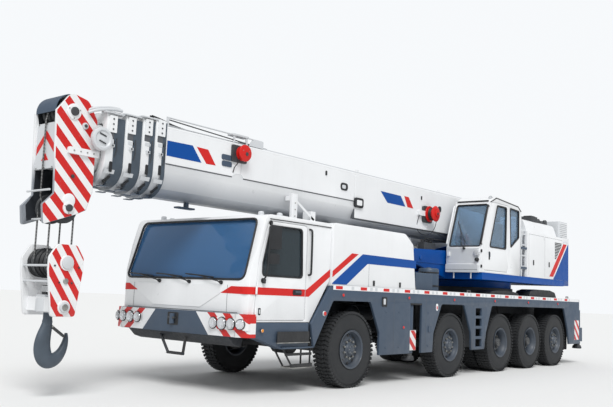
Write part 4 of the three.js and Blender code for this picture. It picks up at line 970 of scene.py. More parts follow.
headFront = {"plate": 0.272, "paint": 0.003, "idler": (-4.64, 3.72), "sheave": (-4.62, 2.45)}
# dark liners for the inner faces of the head's side plates, painted as shade
headShadeLiners = [[(-4.83, 2.985), (-4.83, 2.62), (-4.93, 2.48), (-4.9, 2.27), (-4.47, 2.42), (-4.47, 2.985)],
    [(-4.83, 3.56), (-4.86, 3.7), (-4.7, 3.93), (-4.45, 3.88), (-4.45, 3.56)]]


def makeHead():
    x = headFront["plate"]
    plateOutline = softOutline([(-4.885, 3.695, 0.02), (-4.69, 3.965, 0.11), (-4.425, 3.905, 0.12),
        (-4.275, 3.665, 0.03), (-4.275, 2.705, 0.05), (-4.355, 2.455, 0.06), (-4.49, 2.385, 0.05),
        (-4.955, 2.215, 0.03), (-4.985, 2.46, 0.01), (-4.835, 2.615, 0.01)], 6)
    stripes = Shape()
    for out in bothSides:
        stripes.prism("X", plateOutline, out * (x - 0.001), out * (x + headFront["paint"]), headStripes)
    stripes.piece("head_stripes", "boom_5", "white_paint")

    parts = Shape()
    face = x + headFront["paint"]
    iy, iz = headFront["idler"]
    sy, sz = headFront["sheave"]
    for out in bothSides:
        aim = (out, 0, 0)
        sideDiscs(parts, out, face, [(0, iy, iz, 0.105, 0.016, white), (0.014, iy, iz, 0.058, 0.028, dark),
            (0, sy, sz + 0.1, 0.09, 0.014, white), (0, sy, sz, 0.08, 0.022, white),
            (0.018, sy, sz, 0.048, 0.028, dark), (0, sy + 0.03, 2.87, 0.024, 0.02, dark),
            (0, iy + 0.18, iz - 0.16, 0.045, 0.02, cream),
            (0.018, iy + 0.18, iz - 0.16, 0.022, 0.018, dark)])
        for dy, dz in ((0.08, 0.03), (-0.08, 0.03), (0, -0.09)):
            sideDiscs(parts, out, face, [(0.014, iy + dy, iz + dz, 0.01, 0.01, zinc, 6),
                (0.02, sy + dy * 0.75, sz + dz * 0.75, 0.009, 0.01, zinc, 6)])
        parts.prism("X", softOutline([(-4.7, 3.16, 0.01), (-4.235, 3.16, 0.01), (-4.235, 3.25, 0.01),
            (-4.7, 3.25, 0.03)]), out * face, out * (face + 0.04), white)
        boltsOn(parts, (out * (face + 0.038), -4.62, 3.205), aim, (0, 0.1, 0), 4, 0.011, 0.012)
    # hood over the upper rollers, open below
    hood = []
    for wide, tall, turns in ((0.245, 0.235, range(70, 196, 9)), (0.233, 0.223, range(187, 69, -9))):
        hood += [(iy + wide * math.cos(a), iz + tall * math.sin(a)) for a in map(math.radians, turns)]
    parts.prism("X", hood, -0.231, 0.231, grey)
    for place in (-0.15, -0.05, 0.05, 0.15):
        parts.turned([(-0.028, 0), (-0.028, 0.185), (-0.012, 0.168), (0.012, 0.168), (0.028, 0.185),
            (0.028, 0)], (place, iy, iz), "X", dark, 40)
    for place in (-0.15, 0.15):
        parts.turned([(-0.031, 0), (-0.031, 0.197), (-0.015, 0.172), (0.015, 0.172), (0.031, 0.197),
            (0.031, 0.06), (0.031, 0)], (place, sy, sz), "X", dark, 48)
    parts.turned([(-0.07, 0), (-0.07, 0.09), (0.07, 0.09), (0.07, 0)], (0, sy, sz), "X", dark, 32)
    for y, z in ((-4.9, 2.66), (-4.82, 2.3), (-4.44, 2.44)):
        parts.pipe([(-0.27, y, z), (0.27, y, z)], 0.014, cream, 12)
    # a dark plate and dark liners inside the head, painted as the shade in its opening
    parts.box((-0.231, -4.47, 2.42), (0.231, -4.44, 2.985), underPaintAndShade)
    for side in bothSides:
        for liner in headShadeLiners:
            parts.prism("X", liner, side * 0.2325, side * 0.229, underPaintAndShade)
    parts.piece("head_rollers_and_caps", "boom_5", "white_paint", bevel=0.002)

    marks = Shape()
    # a pale grey plate over the front face, painted as the shade of that face
    marks.box((-0.228, -4.8435, 2.955), (0.228, -4.838, 3.555), cream)
    front = -4.846
    for out in bothSides:
        marks.prism("Y", [(0, 3.46), (out * 0.215, 3.25), (out * 0.215, 3.14), (0, 3.35)], front,
            front + 0.004, red)
    marks.prism("Y", [(-0.085, 3.06), (0.085, 3.06), (0, 3.16)], front, front + 0.004, red)
    for z in (2.965, 3.545):
        boltsOn(marks, (-0.19, front + 0.004, z), (0, -1, 0), (0.19, 0, 0), 3, 0.01, 0.012)
    marks.piece("head_front_marks_and_shade_plate", "boom_5", "white_paint")

    drum = Shape()  # the length cable's drum, in front of the fourth section's collar
    drum.turned([(0, 0), (0, 0.15), (0.012, 0.158), (0.055, 0.158), (0.07, 0.15), (0.076, 0.12),
        (0.06, 0.1), (0.066, 0.05), (0.07, 0)], (0.36, -4.27, 3.41), "X", cream, 48)
    for dz in (0.055, -0.045):
        plateOn(drum, (0.43, -4.275, 3.41 + dz), (1, 0, 0), 0.115, 0.018, 0.006, dark, 0.008,
            up=(0, 0.3, 1))
    drum.box((0.345, -4.27, 3.35), (0.372, -4.0, 3.47), white)
    drum.piece("length_cable_drum", "boom_4", "white_paint", bevel=0.002)


makeBoomSides()
makeReels()
makeBoomUnderside()
makeCollars()
makeTopGear()
makeHead()
print("boom fitted out")

# hook block
blockPlate = {"face": 0.342, "paint": 0.003, "axle": (-4.62, 1.74)}


def makeHookBlock():
    y, z = blockPlate["axle"]
    x = blockPlate["face"]
    outline = softOutline([(y - 0.135, 1.975, 0.05), (y + 0.135, 1.975, 0.05), (y + 0.245, 1.812, 0.06),
        (y + 0.245, 1.65, 0.06), (y + 0.166, 1.065, 0.04), (y - 0.166, 1.065, 0.04),
        (y - 0.245, 1.65, 0.06), (y - 0.245, 1.812, 0.06)], 5)
    stripes = Shape()
    for out in bothSides:
        stripes.prism("X", outline, out * (x - 0.001), out * (x + blockPlate["paint"]), blockStripes)
    stripes.piece("block_stripes", "hook_hanger", "white_paint")

    parts = Shape()
    face = x + blockPlate["paint"]
    for out in bothSides:
        aim = (out, 0, 0)
        sideDiscs(parts, out, face, [(0, y, z, 0.098, 0.014, white),
            (0.012, y, z + 0.004, 0.082, 0.02, cream), (0, y, 1.18, 0.088, 0.012, white),
            (0.01, y, 1.18, 0.068, 0.026, cream), (0.034, y, 1.18, 0.042, 0.01, zinc),
            (0, y, 1.51, 0.036, 0.016, zinc)])
        for dy, dz in ((-0.09, -0.02), (0.09, -0.02), (-0.17, 0.19), (0.18, 0.18)):
            sideDiscs(parts, out, face, [(0, y + dy, 1.51 + dz, 0.013, 0.012, dark, 8)])
    for front, height in ((-0.225, 1.7), (-0.205, 1.5), (0.225, 1.7), (0.205, 1.5)):
        parts.pipe([(-0.33, y + front, height), (0.33, y + front, height)], 0.015, cream, 12)
    parts.turned([(1.105, 0), (1.105, 0.15), (1.12, 0.165), (1.27, 0.165), (1.285, 0.15), (1.285, 0)],
        (0, y, 0), "Z", cream, 40)
    parts.turned([(1.365, 0), (1.365, 0.115), (1.385, 0.105), (1.44, 0.105), (1.45, 0.09), (1.45, 0)],
        (0, y, 0), "Z", steel, 32)
    parts.box((-0.1, y - 0.125, 1.29), (0.1, y + 0.125, 1.33), cream)
    parts.piece("block_caps_and_guards", "hook_hanger", "white_paint", bevel=0.002)

    running = Shape()
    for place in (-0.15, 0.15):
        running.turned([(-0.031, 0), (-0.031, 0.07), (-0.012, 0.08), (-0.012, 0.13), (-0.031, 0.15),
            (-0.031, 0.196), (-0.014, 0.172), (0.014, 0.172), (0.031, 0.196), (0.031, 0.15), (0.012, 0.13),
            (0.012, 0.08), (0.031, 0.07), (0.031, 0)], (place, y, z), "X", dark, 56)
        for way in (-1, 1):
            running.pipe([(place, y + way * 0.17, z), (place, y + way * 0.17, 2.45)], 0.012, rope, 10)
        winding = arc((y, z), 0.1745, 180, 360, 18)
        running.pipe([(place, *spot) for spot in winding], 0.0115, rope, 10)
    for place in (-0.245, -0.05, 0.05, 0.245):
        running.turned([(-0.036, 0), (-0.036, 0.188), (-0.012, 0.16), (0.012, 0.16), (0.036, 0.188),
            (0.036, 0)], (place, y, z), "X", black, 48)
    running.turned([(-0.299, 0), (-0.299, 0.045), (0.299, 0.045), (0.299, 0)], (0, y, z), "X", dark, 32)
    running.piece("rope_falls", "hook_hanger", "steel", replaces=["hoist_falls"])


# half thickness, Y and Z along the middle of the bowl, from the neck round to the tip
hookForm = {"shank": -4.62, "sides": 20, "middle": [(0.064, -4.62, 0.985), (0.08, -4.63, 0.905),
    (0.103, -4.662, 0.785), (0.118, -4.674, 0.655), (0.119, -4.64, 0.535), (0.108, -4.565, 0.482),
    (0.088, -4.466, 0.497), (0.067, -4.388, 0.575), (0.05, -4.345, 0.67), (0.033, -4.328, 0.765),
    (0.015, -4.33, 0.835)]}


def makeHook():
    hooked = Shape()
    route = smoothed(hookForm["middle"], 3)
    count = hookForm["sides"]
    rings = []
    for i, point in enumerate(route):
        before, after = route[max(0, i - 1)], route[min(len(route) - 1, i + 1)]
        along = Vector((0, after.y - before.y, after.z - before.z)).normalized()
        out = Vector((0, -along.z, along.y)) * -1
        radial, wide = point.x, min(0.068, point.x * 0.62 + 0.022)
        section = []
        for a in (2 * math.pi * k / count for k in range(count)):
            narrow = 0.86 + 0.14 * math.cos(a)
            section.append(Vector((wide * narrow * math.sin(a), point.y,
                point.z)) - out * radial * math.cos(a))
        rings.append(hooked.ring(section))
    hooked.skin(rings, slate)
    y = hookForm["shank"]
    hooked.turned([(0.94, 0.0), (0.95, 0.062), (0.985, 0.066), (1.02, 0.058), (1.298, 0.058), (1.298, 0.0)],
        (0, y, 0), "Z", slate, 32)
    hooked.turned([(1.301, 0), (1.301, 0.095), (1.36, 0.095), (1.372, 0.088), (1.372, 0)], (0, y, 0), "Z",
        dark, 6)
    # latch from the neck to the tip
    hooked.prism("X", softOutline([(-4.585, 0.925, 0.01), (-4.56, 0.945, 0.01), (-4.35, 0.8, 0.01),
        (-4.365, 0.775, 0.01)]), -0.02, 0.02, dark)
    hooked.pipe([(-0.068, -4.575, 0.925), (0.068, -4.575, 0.925)], 0.014, zinc, 12)
    hooked.piece("forged_hook", "hook_swivel", "slate_iron", replaces=["crane_hook"], sharp=50)


makeHookBlock()
makeHook()
print("hook block and hook made")
# driver's cab
cabFace = {"side": 1.46, "front": -2.42, "shoulder": 1.6, "lean": 0.295, "bumper": -2.49, "cover": 1.48}
hazardEnds = {out: warningStripes(f"hazardEnd{int(out > 0)}", (out * 0.669, 0, 0.743), 0.212, 0.061,
    share=0.48) for out in bothSides}


# a strip that stands on a wall: columns of (x, y, low, high), facing aside from the walk along them
def ribbon(shape, columns, depth, finish):
    rings = []
    for i, (x, y, low, high) in enumerate(columns):
        before, after = columns[max(0, i - 1)], columns[min(len(columns) - 1, i + 1)]
        out = Vector((after[1] - before[1], before[0] - after[0], 0)).normalized()
        inside, outside = Vector((x, y, 0)) - out * sunk, Vector((x, y, 0)) + out * depth
        ends = [(inside, low), (outside, low), (outside, high), (inside, high)]
        rings.append(shape.ring((p.x, p.y, z) for p, z in ends))
    shape.skin(rings, finish)


def lamp(shape, centre, direction, radius, lens, body=black):
    aim = Vector(direction).normalized()
    discOn(shape, centre, aim, radius * 1.15, 0.012, body, steps=28)
    discOn(shape, Vector(centre) + aim * 0.01, aim, radius, 0.01, mirrorGlass, steps=28)
    discOn(shape, Vector(centre) + aim * 0.018, aim, radius * 0.94, radius * 0.22, lens, 28, 0.8)


# a pane in an opening of a side wall, with a rubber seal round it
def sidePane(shape, outline, x, out, glass, thickness=0.006, seal=0.013, back=0.022):
    soft = softOutline(outline, 5)
    shape.prism("X", soft, out * (x - back), out * (x - back - thickness), glass)
    route = [(out * (x - 0.003), y, z) for y, z in soft]
    shape.seal(route, seal, black)
    inner = [(out * (x - back), y, z) for y, z in soft]
    shape.seal(inner, seal, black)


def makeCabFront():
    face, bumper = cabFace["front"], cabFace["bumper"]
    corner = arc((1.29, -2.25), 0.17, 0, -90, 8)
    livery = Shape()
    for out in bothSides:
        start, tip = (1.1, 0.89) if out > 0 else (1.24, 1.03)
        walk = [(1.46, -2.3)] + corner + [(start, face), (tip, face)]
        columns = []
        for x, y in walk:
            fall = 1.436 + 0.006 * max(0, (1.29 - x) / 0.4)
            columns.append((out * x, y, fall, fall + 0.105 if x > tip else fall + 0.004))
        ribbon(livery, columns if out < 0 else columns[::-1], 0.0025, red)
    livery.piece("cab_front_stripe", "carrier", "blue_paint")

    panel = Shape()
    raised = softOutline([(-1.02, 1.435), (-0.61, 1.225), (0.47, 1.225), (0.88, 1.435), (0.9, 1.56),
        (-1.04, 1.56)])
    panel.prism("Y", raised, face - 0.01, face + 0.004, white)
    for x in (-1.115, 1.02):
        panel.box((x, face - 0.003, 1.17), (x + 0.006, face + 0.002, 1.56), trimAndShade)
    panel.box((-1.25, face - 0.003, 1.168), (1.25, face + 0.002, 1.176), trimAndShade)
    panel.piece("cab_front_panel", "carrier", "white_paint", bevel=0.006)

    ends = Shape()
    for out in bothSides:
        stripes = hazardEnds[out]
        for columns, depth, finish in (([(0.53, 1.15, 1.157), (0.81, 0.836, 1.157), (1.29, 0.836, 1.157)],
                0.003, stripes), ([(0.47, 1.15, 1.157), (0.69, 0.905, 1.157), (0.75, 0.836, 1.108),
                (1.045, 0.836, 0.843)], 0.0045, white)):
            ribbon(ends, [(out * x, bumper, low, high) for x, low, high in columns][::out], depth, finish)
        plan = [(1.28, -2.493), (1.302, -2.493), (1.468, -2.43), (1.479, -2.4), (1.479, -2.27),
            (1.3, -2.27)]
        ends.prism("Z", [(out * x, y) for x, y in plan], 0.834, 1.158, stripes)
    ends.piece("bumper_end_stripes", "carrier", "white_paint", bevel=0.002)

    lamps = Shape()
    for out in bothSides:
        turned = Vector((out * 0.349, -0.937, 0))
        tray = [(0.8, bumper - 0.002), (0.81, bumper - 0.026), (1.3, bumper - 0.026), (1.462, -2.462),
            (1.488, -2.43), (1.488, -2.395), (1.3, -2.45)]
        lamps.prism("Z", [(out * x, y) for x, y in tray], 0.932, 1.098, hazardEnds[out])
        for x, radius in ((0.865, 0.076), (1.045, 0.082), (1.225, 0.076)):
            lamp(lamps, (out * x, bumper - 0.025, 1.015), (0, -1, 0), radius, lampClear)
        lamp(lamps, (out * 1.39, -2.494, 1.015), turned, 0.066, lampClear)
    lamps.piece("headlamps", "carrier", "white_paint", bevel=0.006)

    tow = Shape()
    tow.prism("Y", softRectangle(-0.17, 0.935, 0.08, 1.125, 0.02), bumper - 0.006, bumper + 0.004, black)
    tow.turned([(0.955, 0), (0.955, 0.04), (1.105, 0.04), (1.105, 0)], (-0.04, bumper - 0.02, 0), "Z", grey,
        20)
    tow.box((-0.12, bumper - 0.05, 1.03), (0.03, bumper - 0.004, 1.06), dark)
    for top, foot in ((-0.45, -0.17), (0.19, 0.17)):
        tow.pipe([(top, -2.41, 0.845), (foot, -2.44, 0.522)], 0.0215, black, 12)
    tow.pipe([(-0.185, -2.44, 0.52), (0.185, -2.44, 0.52)], 0.0225, black, 12)
    tow.prism("X", [(-2.475, 0.828), (-2.36, 0.72), (-2.22, 0.68), (-2.18, 0.828)], -1.12, 1.15, underPaintAndShade)
    tow.piece("tow_coupling_and_valance", "carrier", "dark_metal", bevel=0.006)

    lean = Matrix(((1, 0, 0, 0), (0, 0.2829, -0.9591, face), (0, 0.9591, 0.2829, 1.6), (0, 0, 0, 1)))
    wipers = Shape()
    rim = softOutline([(1.335, 0.0417, 0.11), (1.3, 0.974, 0.11), (-1.3, 0.974, 0.11),
        (-1.335, 0.0417, 0.11)], 6)
    loop = [lean @ Vector((a, b, 0.001)) for a, b in rim]
    wipers.seal(loop, 0.017, black)
    for x in (-0.48, 0.21, 0.9):
        foot, knee, grip, low, high = onPlane(lean, (x, -0.012, 0.0), (x - 0.06, 0.0, 0.05),
            (x - 0.52, 0.085, 0.035), (x - 0.8, 0.105, 0.022), (x - 0.18, 0.06, 0.022))
        wipers.turned([(0, 0), (0, 0.028), (0.035, 0.022), (0.05, 0.015), (0.05, 0)], foot,
            (0, -0.97, 0.24), black, 16)
        wipers.pipe([foot + Vector((0, -0.04, 0.008)), knee, grip], 0.009, black, 8)
        wipers.pipe([low, grip, high], 0.01, black, 6)
    wipers.piece("screen_seal_and_wipers", "carrier", "dark_metal")


doorWindow = [(-1.29, 1.71, 0.06), (-1.33, 2.44, 0.06), (-2.03, 2.44, 0.06), (-2.17, 1.89, 0.04),
    (-2.17, 1.71, 0.06)]


def makeDoorSides():
    x = cabFace["side"]
    for sideName, out in sideNames:
        pane = Shape()
        sidePane(pane, doorWindow, x, out, doorGlass)
        pane.piece(f"door_pane_{sideName}", f"{sideName}_cab_door", "glass")

        livery = Shape()
        livery.prism("X", [(-2.268, 1.436), (-1.218, 1.434), (-1.218, 1.541), (-2.262, 1.541)],
            out * (x - 0.001), out * (x + 0.0025), red)
        livery.piece(f"door_stripe_{sideName}", f"{sideName}_cab_door", "blue_paint")

        fitted = Shape()
        sidePlates(fitted, out, x, [(-1.4, 1.49, 0.2, 0.082, 0.01, black, 0.03),
            (-1.385, 1.497, 0.14, 0.032, 0.026, slate, 0.012), (-2.2, 1.2, 0.05, 0.1, 0.006, black, 0.015),
            (-2.2, 1.2, 0.022, 0.06, 0.01, cream, 0.006)])
        arm = [(out * (x - 0.01), -2.045, 2.475), (out * (x + 0.055), -2.07, 2.475),
            (out * (x + 0.06), -2.1, 2.4), (out * (x + 0.06), -2.13, 1.78), (out * (x + 0.05), -2.15, 1.68),
            (out * (x - 0.01), -2.16, 1.64)]
        fitted.pipe(smoothed(arm), 0.012, black, 10)
        sideDiscs(fitted, out, x, [(0, -2.045, 2.475, 0.035, 0.018, black),
            (0, -2.16, 1.64, 0.035, 0.018, black)])
        fitted.pipe([(out * (x + 0.03), -2.155, 1.66), (out * (x + 0.035), -2.165, 1.6)], 0.026, black, 12)
        tilt = shifted((out * (x + 0.018), -2.085, 0), out * 62, "Z")
        for low, high, width in ((2.09, 2.43, 0.185), (1.88, 2.03, 0.165)):
            soft = softOutline([(0.0, low, 0.03), (out * width, low, 0.04), (out * width, high, 0.04),
                (0.0, high, 0.03)])
            fitted.prism("Y", soft, -0.035, 0.012, black, tilt)
            glass = softOutline([(out * 0.012, low + 0.012, 0.025), (out * (width - 0.012), low + 0.012,
                0.03), (out * (width - 0.012), high - 0.012, 0.03), (out * 0.012, high - 0.012, 0.025)])
            fitted.prism("Y", glass, 0.01, 0.016, mirrorGlass, tilt)
        fitted.piece(f"door_fittings_and_mirrors_{sideName}", f"{sideName}_cab_door", "dark_metal",
            bevel=0.004)


def makeCabSides():
    x, cover = cabFace["side"], cabFace["cover"]
    livery = Shape()
    for out in bothSides:
        edges = out * (x - 0.001), out * (x + 0.0025)
        livery.prism("X", [(-1.204, 1.434), (-1.126, 1.434), (-0.622, 1.76), (-0.622, 1.878),
            (-1.18, 1.541), (-1.204, 1.541)], *edges, red)
        edges = out * (cover - 0.001), out * (cover + 0.0025)
        livery.prism("X", [(-0.583, 1.755), (0.093, 2.161), (-0.085, 2.165), (-0.583, 1.853)], *edges, red)
        livery.prism("X", [(-0.583, 1.648), (-0.21, 1.65), (0.356, 2.016), (1.868, 2.016), (1.868, 2.16),
            (0.213, 2.169), (-0.583, 1.663)], *edges, blue)
    livery.piece("side_stripes", "carrier", "blue_paint")

    fitted = Shape()
    for out in bothSides:
        aim = (out, 0, 0)
        fitted.box((out * (x - 0.004), -2.06, 2.528), (out * (x + 0.01), -0.63, 2.54), black)
        handle = [(out * (x - 0.01), -1.165, 2.455), (out * (x + 0.05), -1.165, 2.45),
            (out * (x + 0.055), -1.155, 2.38), (out * (x + 0.055), -1.15, 1.83),
            (out * (x + 0.05), -1.15, 1.765), (out * (x - 0.01), -1.15, 1.76)]
        fitted.pipe(smoothed(handle), 0.016, black, 12)
        fitted.box((out * (x - 0.002), -1.207, 1.09), (out * (x + 0.001), -1.203, 2.5), trimAndShade)
        for y in (-1.9, -1.62):
            discOn(fitted, (out * (1.12 if y < -1.8 else 1.24), y, 2.598), (0, 0, 1), 0.045, 0.075, cream,
                rim=0.4)
        # step let into the bumper's side, and the hanging step below it
        plateOn(fitted, (out * 1.497, -1.48, 0.835), aim, 0.72, 0.165, 0.006, black, 0.02)
        fitted.box((out * 1.46, -1.84, 0.748), (out * 1.515, -1.12, 0.762), zinc)
        fitted.box((out * 1.46, -1.72, 0.672), (out * 1.518, -1.04, 0.69), grey)
        lamp(fitted, (out * 1.497, -2.17, 0.935), aim, 0.026, lampAmber)
        lamp(fitted, (out * 1.5, -0.78, 1.185), aim, 0.034, lampRed, white)
        if out < 0:
            continue
        for start, end in (((-1.66, 0.69), (-1.42, 0.385)), ((-1.02, 0.69), (-1.02, 0.385))):
            fitted.pipe([(out * 1.44, *start), (out * 1.44, *end)], 0.014, black, 10)
            fitted.pipe([(out * 1.26, *start), (out * 1.26, *end)], 0.014, black, 10)
        fitted.box((out * 1.24, -1.45, 0.372), (out * 1.46, -0.99, 0.392), zinc)
        fitted.box((out * 1.445, -1.46, 0.385), (out * 1.46, -0.98, 0.44), black)
        fitted.box((out * 1.445, -1.6, 0.56), (out * 1.46, -1.0, 0.6), black)
    # hatch and ribs on the roof, rear pane
    softBox(fitted, (-0.42, -1.75, 2.598), (0.42, -1.1, 2.628), 0.06, white)
    for place in (-1.02, -0.72, 0.72, 1.02):
        softBox(fitted, (place - 0.02, -1.95, 2.598), (place + 0.02, -0.75, 2.608), 0.015, white)
    rearWindow = softRectangle(-0.7, 1.8, 0.7, 2.38, 0.06)
    fitted.prism("Y", rearWindow, -0.652, -0.646, doorGlass)
    fitted.seal([(a, -0.622, b) for a, b in rearWindow], 0.012, black)
    fitted.piece("cab_side_fittings", "carrier", "dark_metal", bevel=0.003)

    cover = Shape()  # louvres, catches and seams of the engine cover
    for out in bothSides:
        for y in (0.55, 1.35):
            plateOn(cover, (out * 1.479, y, 1.7), (out, 0, 0), 0.05, 0.09, 0.01, black, 0.012)
        cover.box((out * 1.475, 0.4, 1.63), (out * 1.4815, 0.404, 2.012), trimAndShade)
    for x in (-0.75, 0.35):
        slatsFrom(cover, (x, 0.2, 2.622), black, 22, (0.0, 0.035, 0), (0.42, 0.012, 0.016), 0.5)
    for y in (-0.35, 1.2):
        cover.pipe([(0.9, y, 2.6), (0.9, y, 2.66), (1.1, y, 2.66), (1.1, y, 2.6)], 0.01, black, 8)
    slatsFrom(cover, (-0.95, 1.873, 1.75), black, 14, (0.0, 0.0, 0.035), (0.75, 0.014, 0.012), 0.5)
    slatsFrom(cover, (0.2, 1.873, 1.75), black, 14, (0.0, 0.0, 0.035), (0.75, 0.014, 0.012), 0.5)
    cover.piece("engine_cover_fittings", "carrier", "dark_metal")


makeCabFront()
makeDoorSides()
makeCabSides()
print("driver's cab fitted out")
# carrier: what is fixed along its sides, its deck, its rear end and beneath
sides = {"x": 1.5, "tape": (1.56, 1.634), "blockPitch": 0.664, "blockStart": -0.422, "blockCount": 15,
    "deck": 1.62}
boardStripes = {out: warningStripes(f"boardStripes{int(out > 0)}", (0, out * 0.7071, 0.7071), 0.17, 0.02,
    share=0.5) for out in bothSides}


def makeSideTape():
    x = sides["x"]
    low, high = sides["tape"]
    for sideName, out in sideNames:
        tape = Shape()
        tape.box((out * (x - 0.001), -0.575, low), (out * (x + 0.002), 9.745, high), white)
        middle = (low + high) / 2
        matrix = Matrix.Translation((out * (x + 0.0005), sides["blockStart"], middle))
        addRepeated(tape, slatRow, red, matrix, Count=sides["blockCount"], Step=(0, sides["blockPitch"], 0),
            Size=(0.008, 0.175, 0.05), Turn=(0, 0, 0))
        for shift in (-0.3, 0.22):
            matrix = Matrix.Translation((out * (x + 0.0005), sides["blockStart"] + shift + 0.66, middle))
            addRepeated(tape, slatRow, cream, matrix, Count=sides["blockCount"] - 1,
                Step=(0, sides["blockPitch"], 0), Size=(0.006, 0.07, 0.056), Turn=(0, 0, 0))
        tape.piece(f"deck_edge_tape_{sideName}", "carrier", "white_paint")


def makeSideFittings():
    x = sides["x"]
    fitted = Shape()
    for out in bothSides:
        for y, z in ((-0.31, 1.48), (1.63, 1.48), (3.26, 1.48), (4.99, 1.49), (6.65, 1.49), (8.35, 1.49),
                (1.47, 0.96)):
            sideDiscs(fitted, out, x, [(0, y, z, 0.04, 0.006, grey, 20),
                (0, y, z, 0.027, 0.016, lampRed, 20, 0.8)])
        sidePlates(fitted, out, x, [(2.61, 1.33, 0.075, 0.13, 0.004, white, 0.035),
            (2.61, 1.32, 0.035, 0.06, 0.007, red, 0.016), (0.855, 1.395, 0.15, 0.16, 0.01, black, 0.02),
            (0.845, 1.4, 0.06, 0.1, 0.018, cream, 0.02), (2.36, 0.92, 0.1, 0.12, 0.012, grey, 0.02)])
        for y in (1.16, 2.22, 3.98, 4.55):
            fitted.box((out * (x - 0.002), y - 0.003, 0.52), (out * (x + 0.0015), y + 0.003, 1.55), trimAndShade)
        sideDiscs(fitted, out, x,
            [(0, y, z, 0.014, 0.008, grey, 6) for y in (0.92, 1.32, 2.3) for z in (0.62, 1.22)])
        fitted.box((out * (x - 0.03), 1.7, 1.36), (out * (x + 0.002), 2.07, 1.388), black)
        warned = softRectangle(9.44, 0.6, 9.74, 1.09, 0.015)
        fitted.prism("X", warned, out * (x - 0.002), out * (x + 0.003), boardStripes[out])
        # boxes let in behind the step holes
        fitted.box((out * 1.2, 4.1, 0.53), (out * 1.215, 4.46, 1.38), underPaintAndShade)
    fitted.piece("carrier_side_fittings", "carrier", "dark_metal", bevel=0.002)
    for end, place, reach in (("front", 1.885, 0.11), ("rear", 9.965, 0.112)):
        for sideName, out in sideNames:
            y = place - out * 0.094
            board = Shape()
            soft = softRectangle(y - reach, 0.55, y + reach, 0.91, 0.015)
            board.prism("X", soft, out * 1.485, out * 1.492, cream)
            inner = [(y - reach + 0.008, 0.558), (y + reach - 0.008, 0.558), (y + reach - 0.008, 0.902),
                (y - reach + 0.008, 0.902)]
            board.prism("X", inner, out * 1.491, out * 1.496, boardStripes[out] if end == "front" else grey)
            for z in (0.62, 0.84):
                board.box((out * 1.44, y - 0.03, z - 0.02), (out * 1.487, y + 0.03, z + 0.02), grey)
            board.turned([(1.348, 0), (1.348, 0.07), (1.356, 0.07), (1.36, 0.06), (1.36, 0)],
                (out * 1.395, y, 0), "Z", grey, 24)
            board.pipe([(out * 1.33, y + 0.05, 1.3), (out * 1.28, y + 0.06, 1.322),
                (out * 1.22, y + 0.05, 1.318)], 0.012, black, 8)
            board.piece(f"jack_board_{end}_{sideName}", f"outrigger_beam_{end}_{sideName}", "white_paint",
                bevel=0.001)
            foot = Shape()
            foot.turned([(0.372, 0), (0.372, 0.108), (0.385, 0.116), (0.4, 0.116), (0.425, 0.106),
                (0.455, 0.085), (0.455, 0.0)], (out * 1.395, y, 0), "Z", underPaintAndShade, 32)
            foot.piece(f"jack_foot_{end}_{sideName}", f"outrigger_jack_{end}_{sideName}", "grey_paint")


def makeDeckGear():
    top = sides["deck"]
    gear = Shape()
    softBox(gear, (0.66, 2.06, top - 0.002), (1.36, 2.66, top + 0.34), 0.03, grey, "Y")
    gear.box((0.66, 2.045, top + 0.16), (1.36, 2.06, top + 0.168), trimAndShade)
    softBox(gear, (-1.38, 2.06, top - 0.002), (-0.66, 3.05, top + 0.3), 0.03, grey, "Y")
    for y in (2.3, 2.8):
        plateOn(gear, (-1.38, y, top + 0.2), (-1, 0, 0), 0.08, 0.05, 0.012, black, 0.01)
    gear.turned([(top - 0.002, 0), (top - 0.002, 0.2), (top + 0.43, 0.2), (top + 0.455, 0.185),
        (top + 0.465, 0.15), (top + 0.468, 0.05), (top + 0.48, 0.045), (top + 0.48, 0)], (1.0, 3.11, 0),
        "Z", grey, 40)
    for z in (top + 0.1, top + 0.36):
        gear.hoop([(z, 0.196), (z, 0.206), (z + 0.03, 0.206), (z + 0.03, 0.196)], (1.0, 3.11, 0), "Z",
            black, 40)
    for out in bothSides:  # guards over the rear wheels, standing up through the deck
        for y0, y1, x0, x1, high in ((6.83, 8.45, 1.08, 1.43, 0.185), (4.86, 6.35, 1.08, 1.43, 0.1)):
            outline = softOutline([(y0, top - 0.002, 0), (y0 + 0.1, top + high * 0.75, 0.1),
                (y0 + 0.4, top + high, 0.2), (y1 - 0.4, top + high, 0.2),
                (y1 - 0.1, top + high * 0.75, 0.1), (y1, top - 0.002, 0)])
            gear.prism("X", outline, out * x0, out * x1, black)
        for y in (2.0, 4.1, 9.3):
            gear.pipe([(out * 1.36, y - 0.06, top - 0.002), (out * 1.36, y - 0.06, top + 0.06),
                (out * 1.36, y + 0.06, top + 0.06), (out * 1.36, y + 0.06, top - 0.002)], 0.01, zinc, 10)
    for x, route in ((0.34, 0.02), (0.42, 0.05), (-0.4, 0.03)):  # pipes along the deck to the turntable
        gear.pipe([(x, 1.75, top + 0.03), (x, 2.6, top + 0.03), (x * 0.8, 3.4, top + 0.03),
            (x * 0.8, 4.9, top + 0.03)], 0.018, dark, 8)
    gear.piece("deck_gear", "carrier", "grey_paint", bevel=0.006)


rearEnd = {"face": 10.166, "lampStart": 0.62, "lampPitch": 0.165,
    "lenses": (lampRed, lampAmber, lampRed, lampClear)}


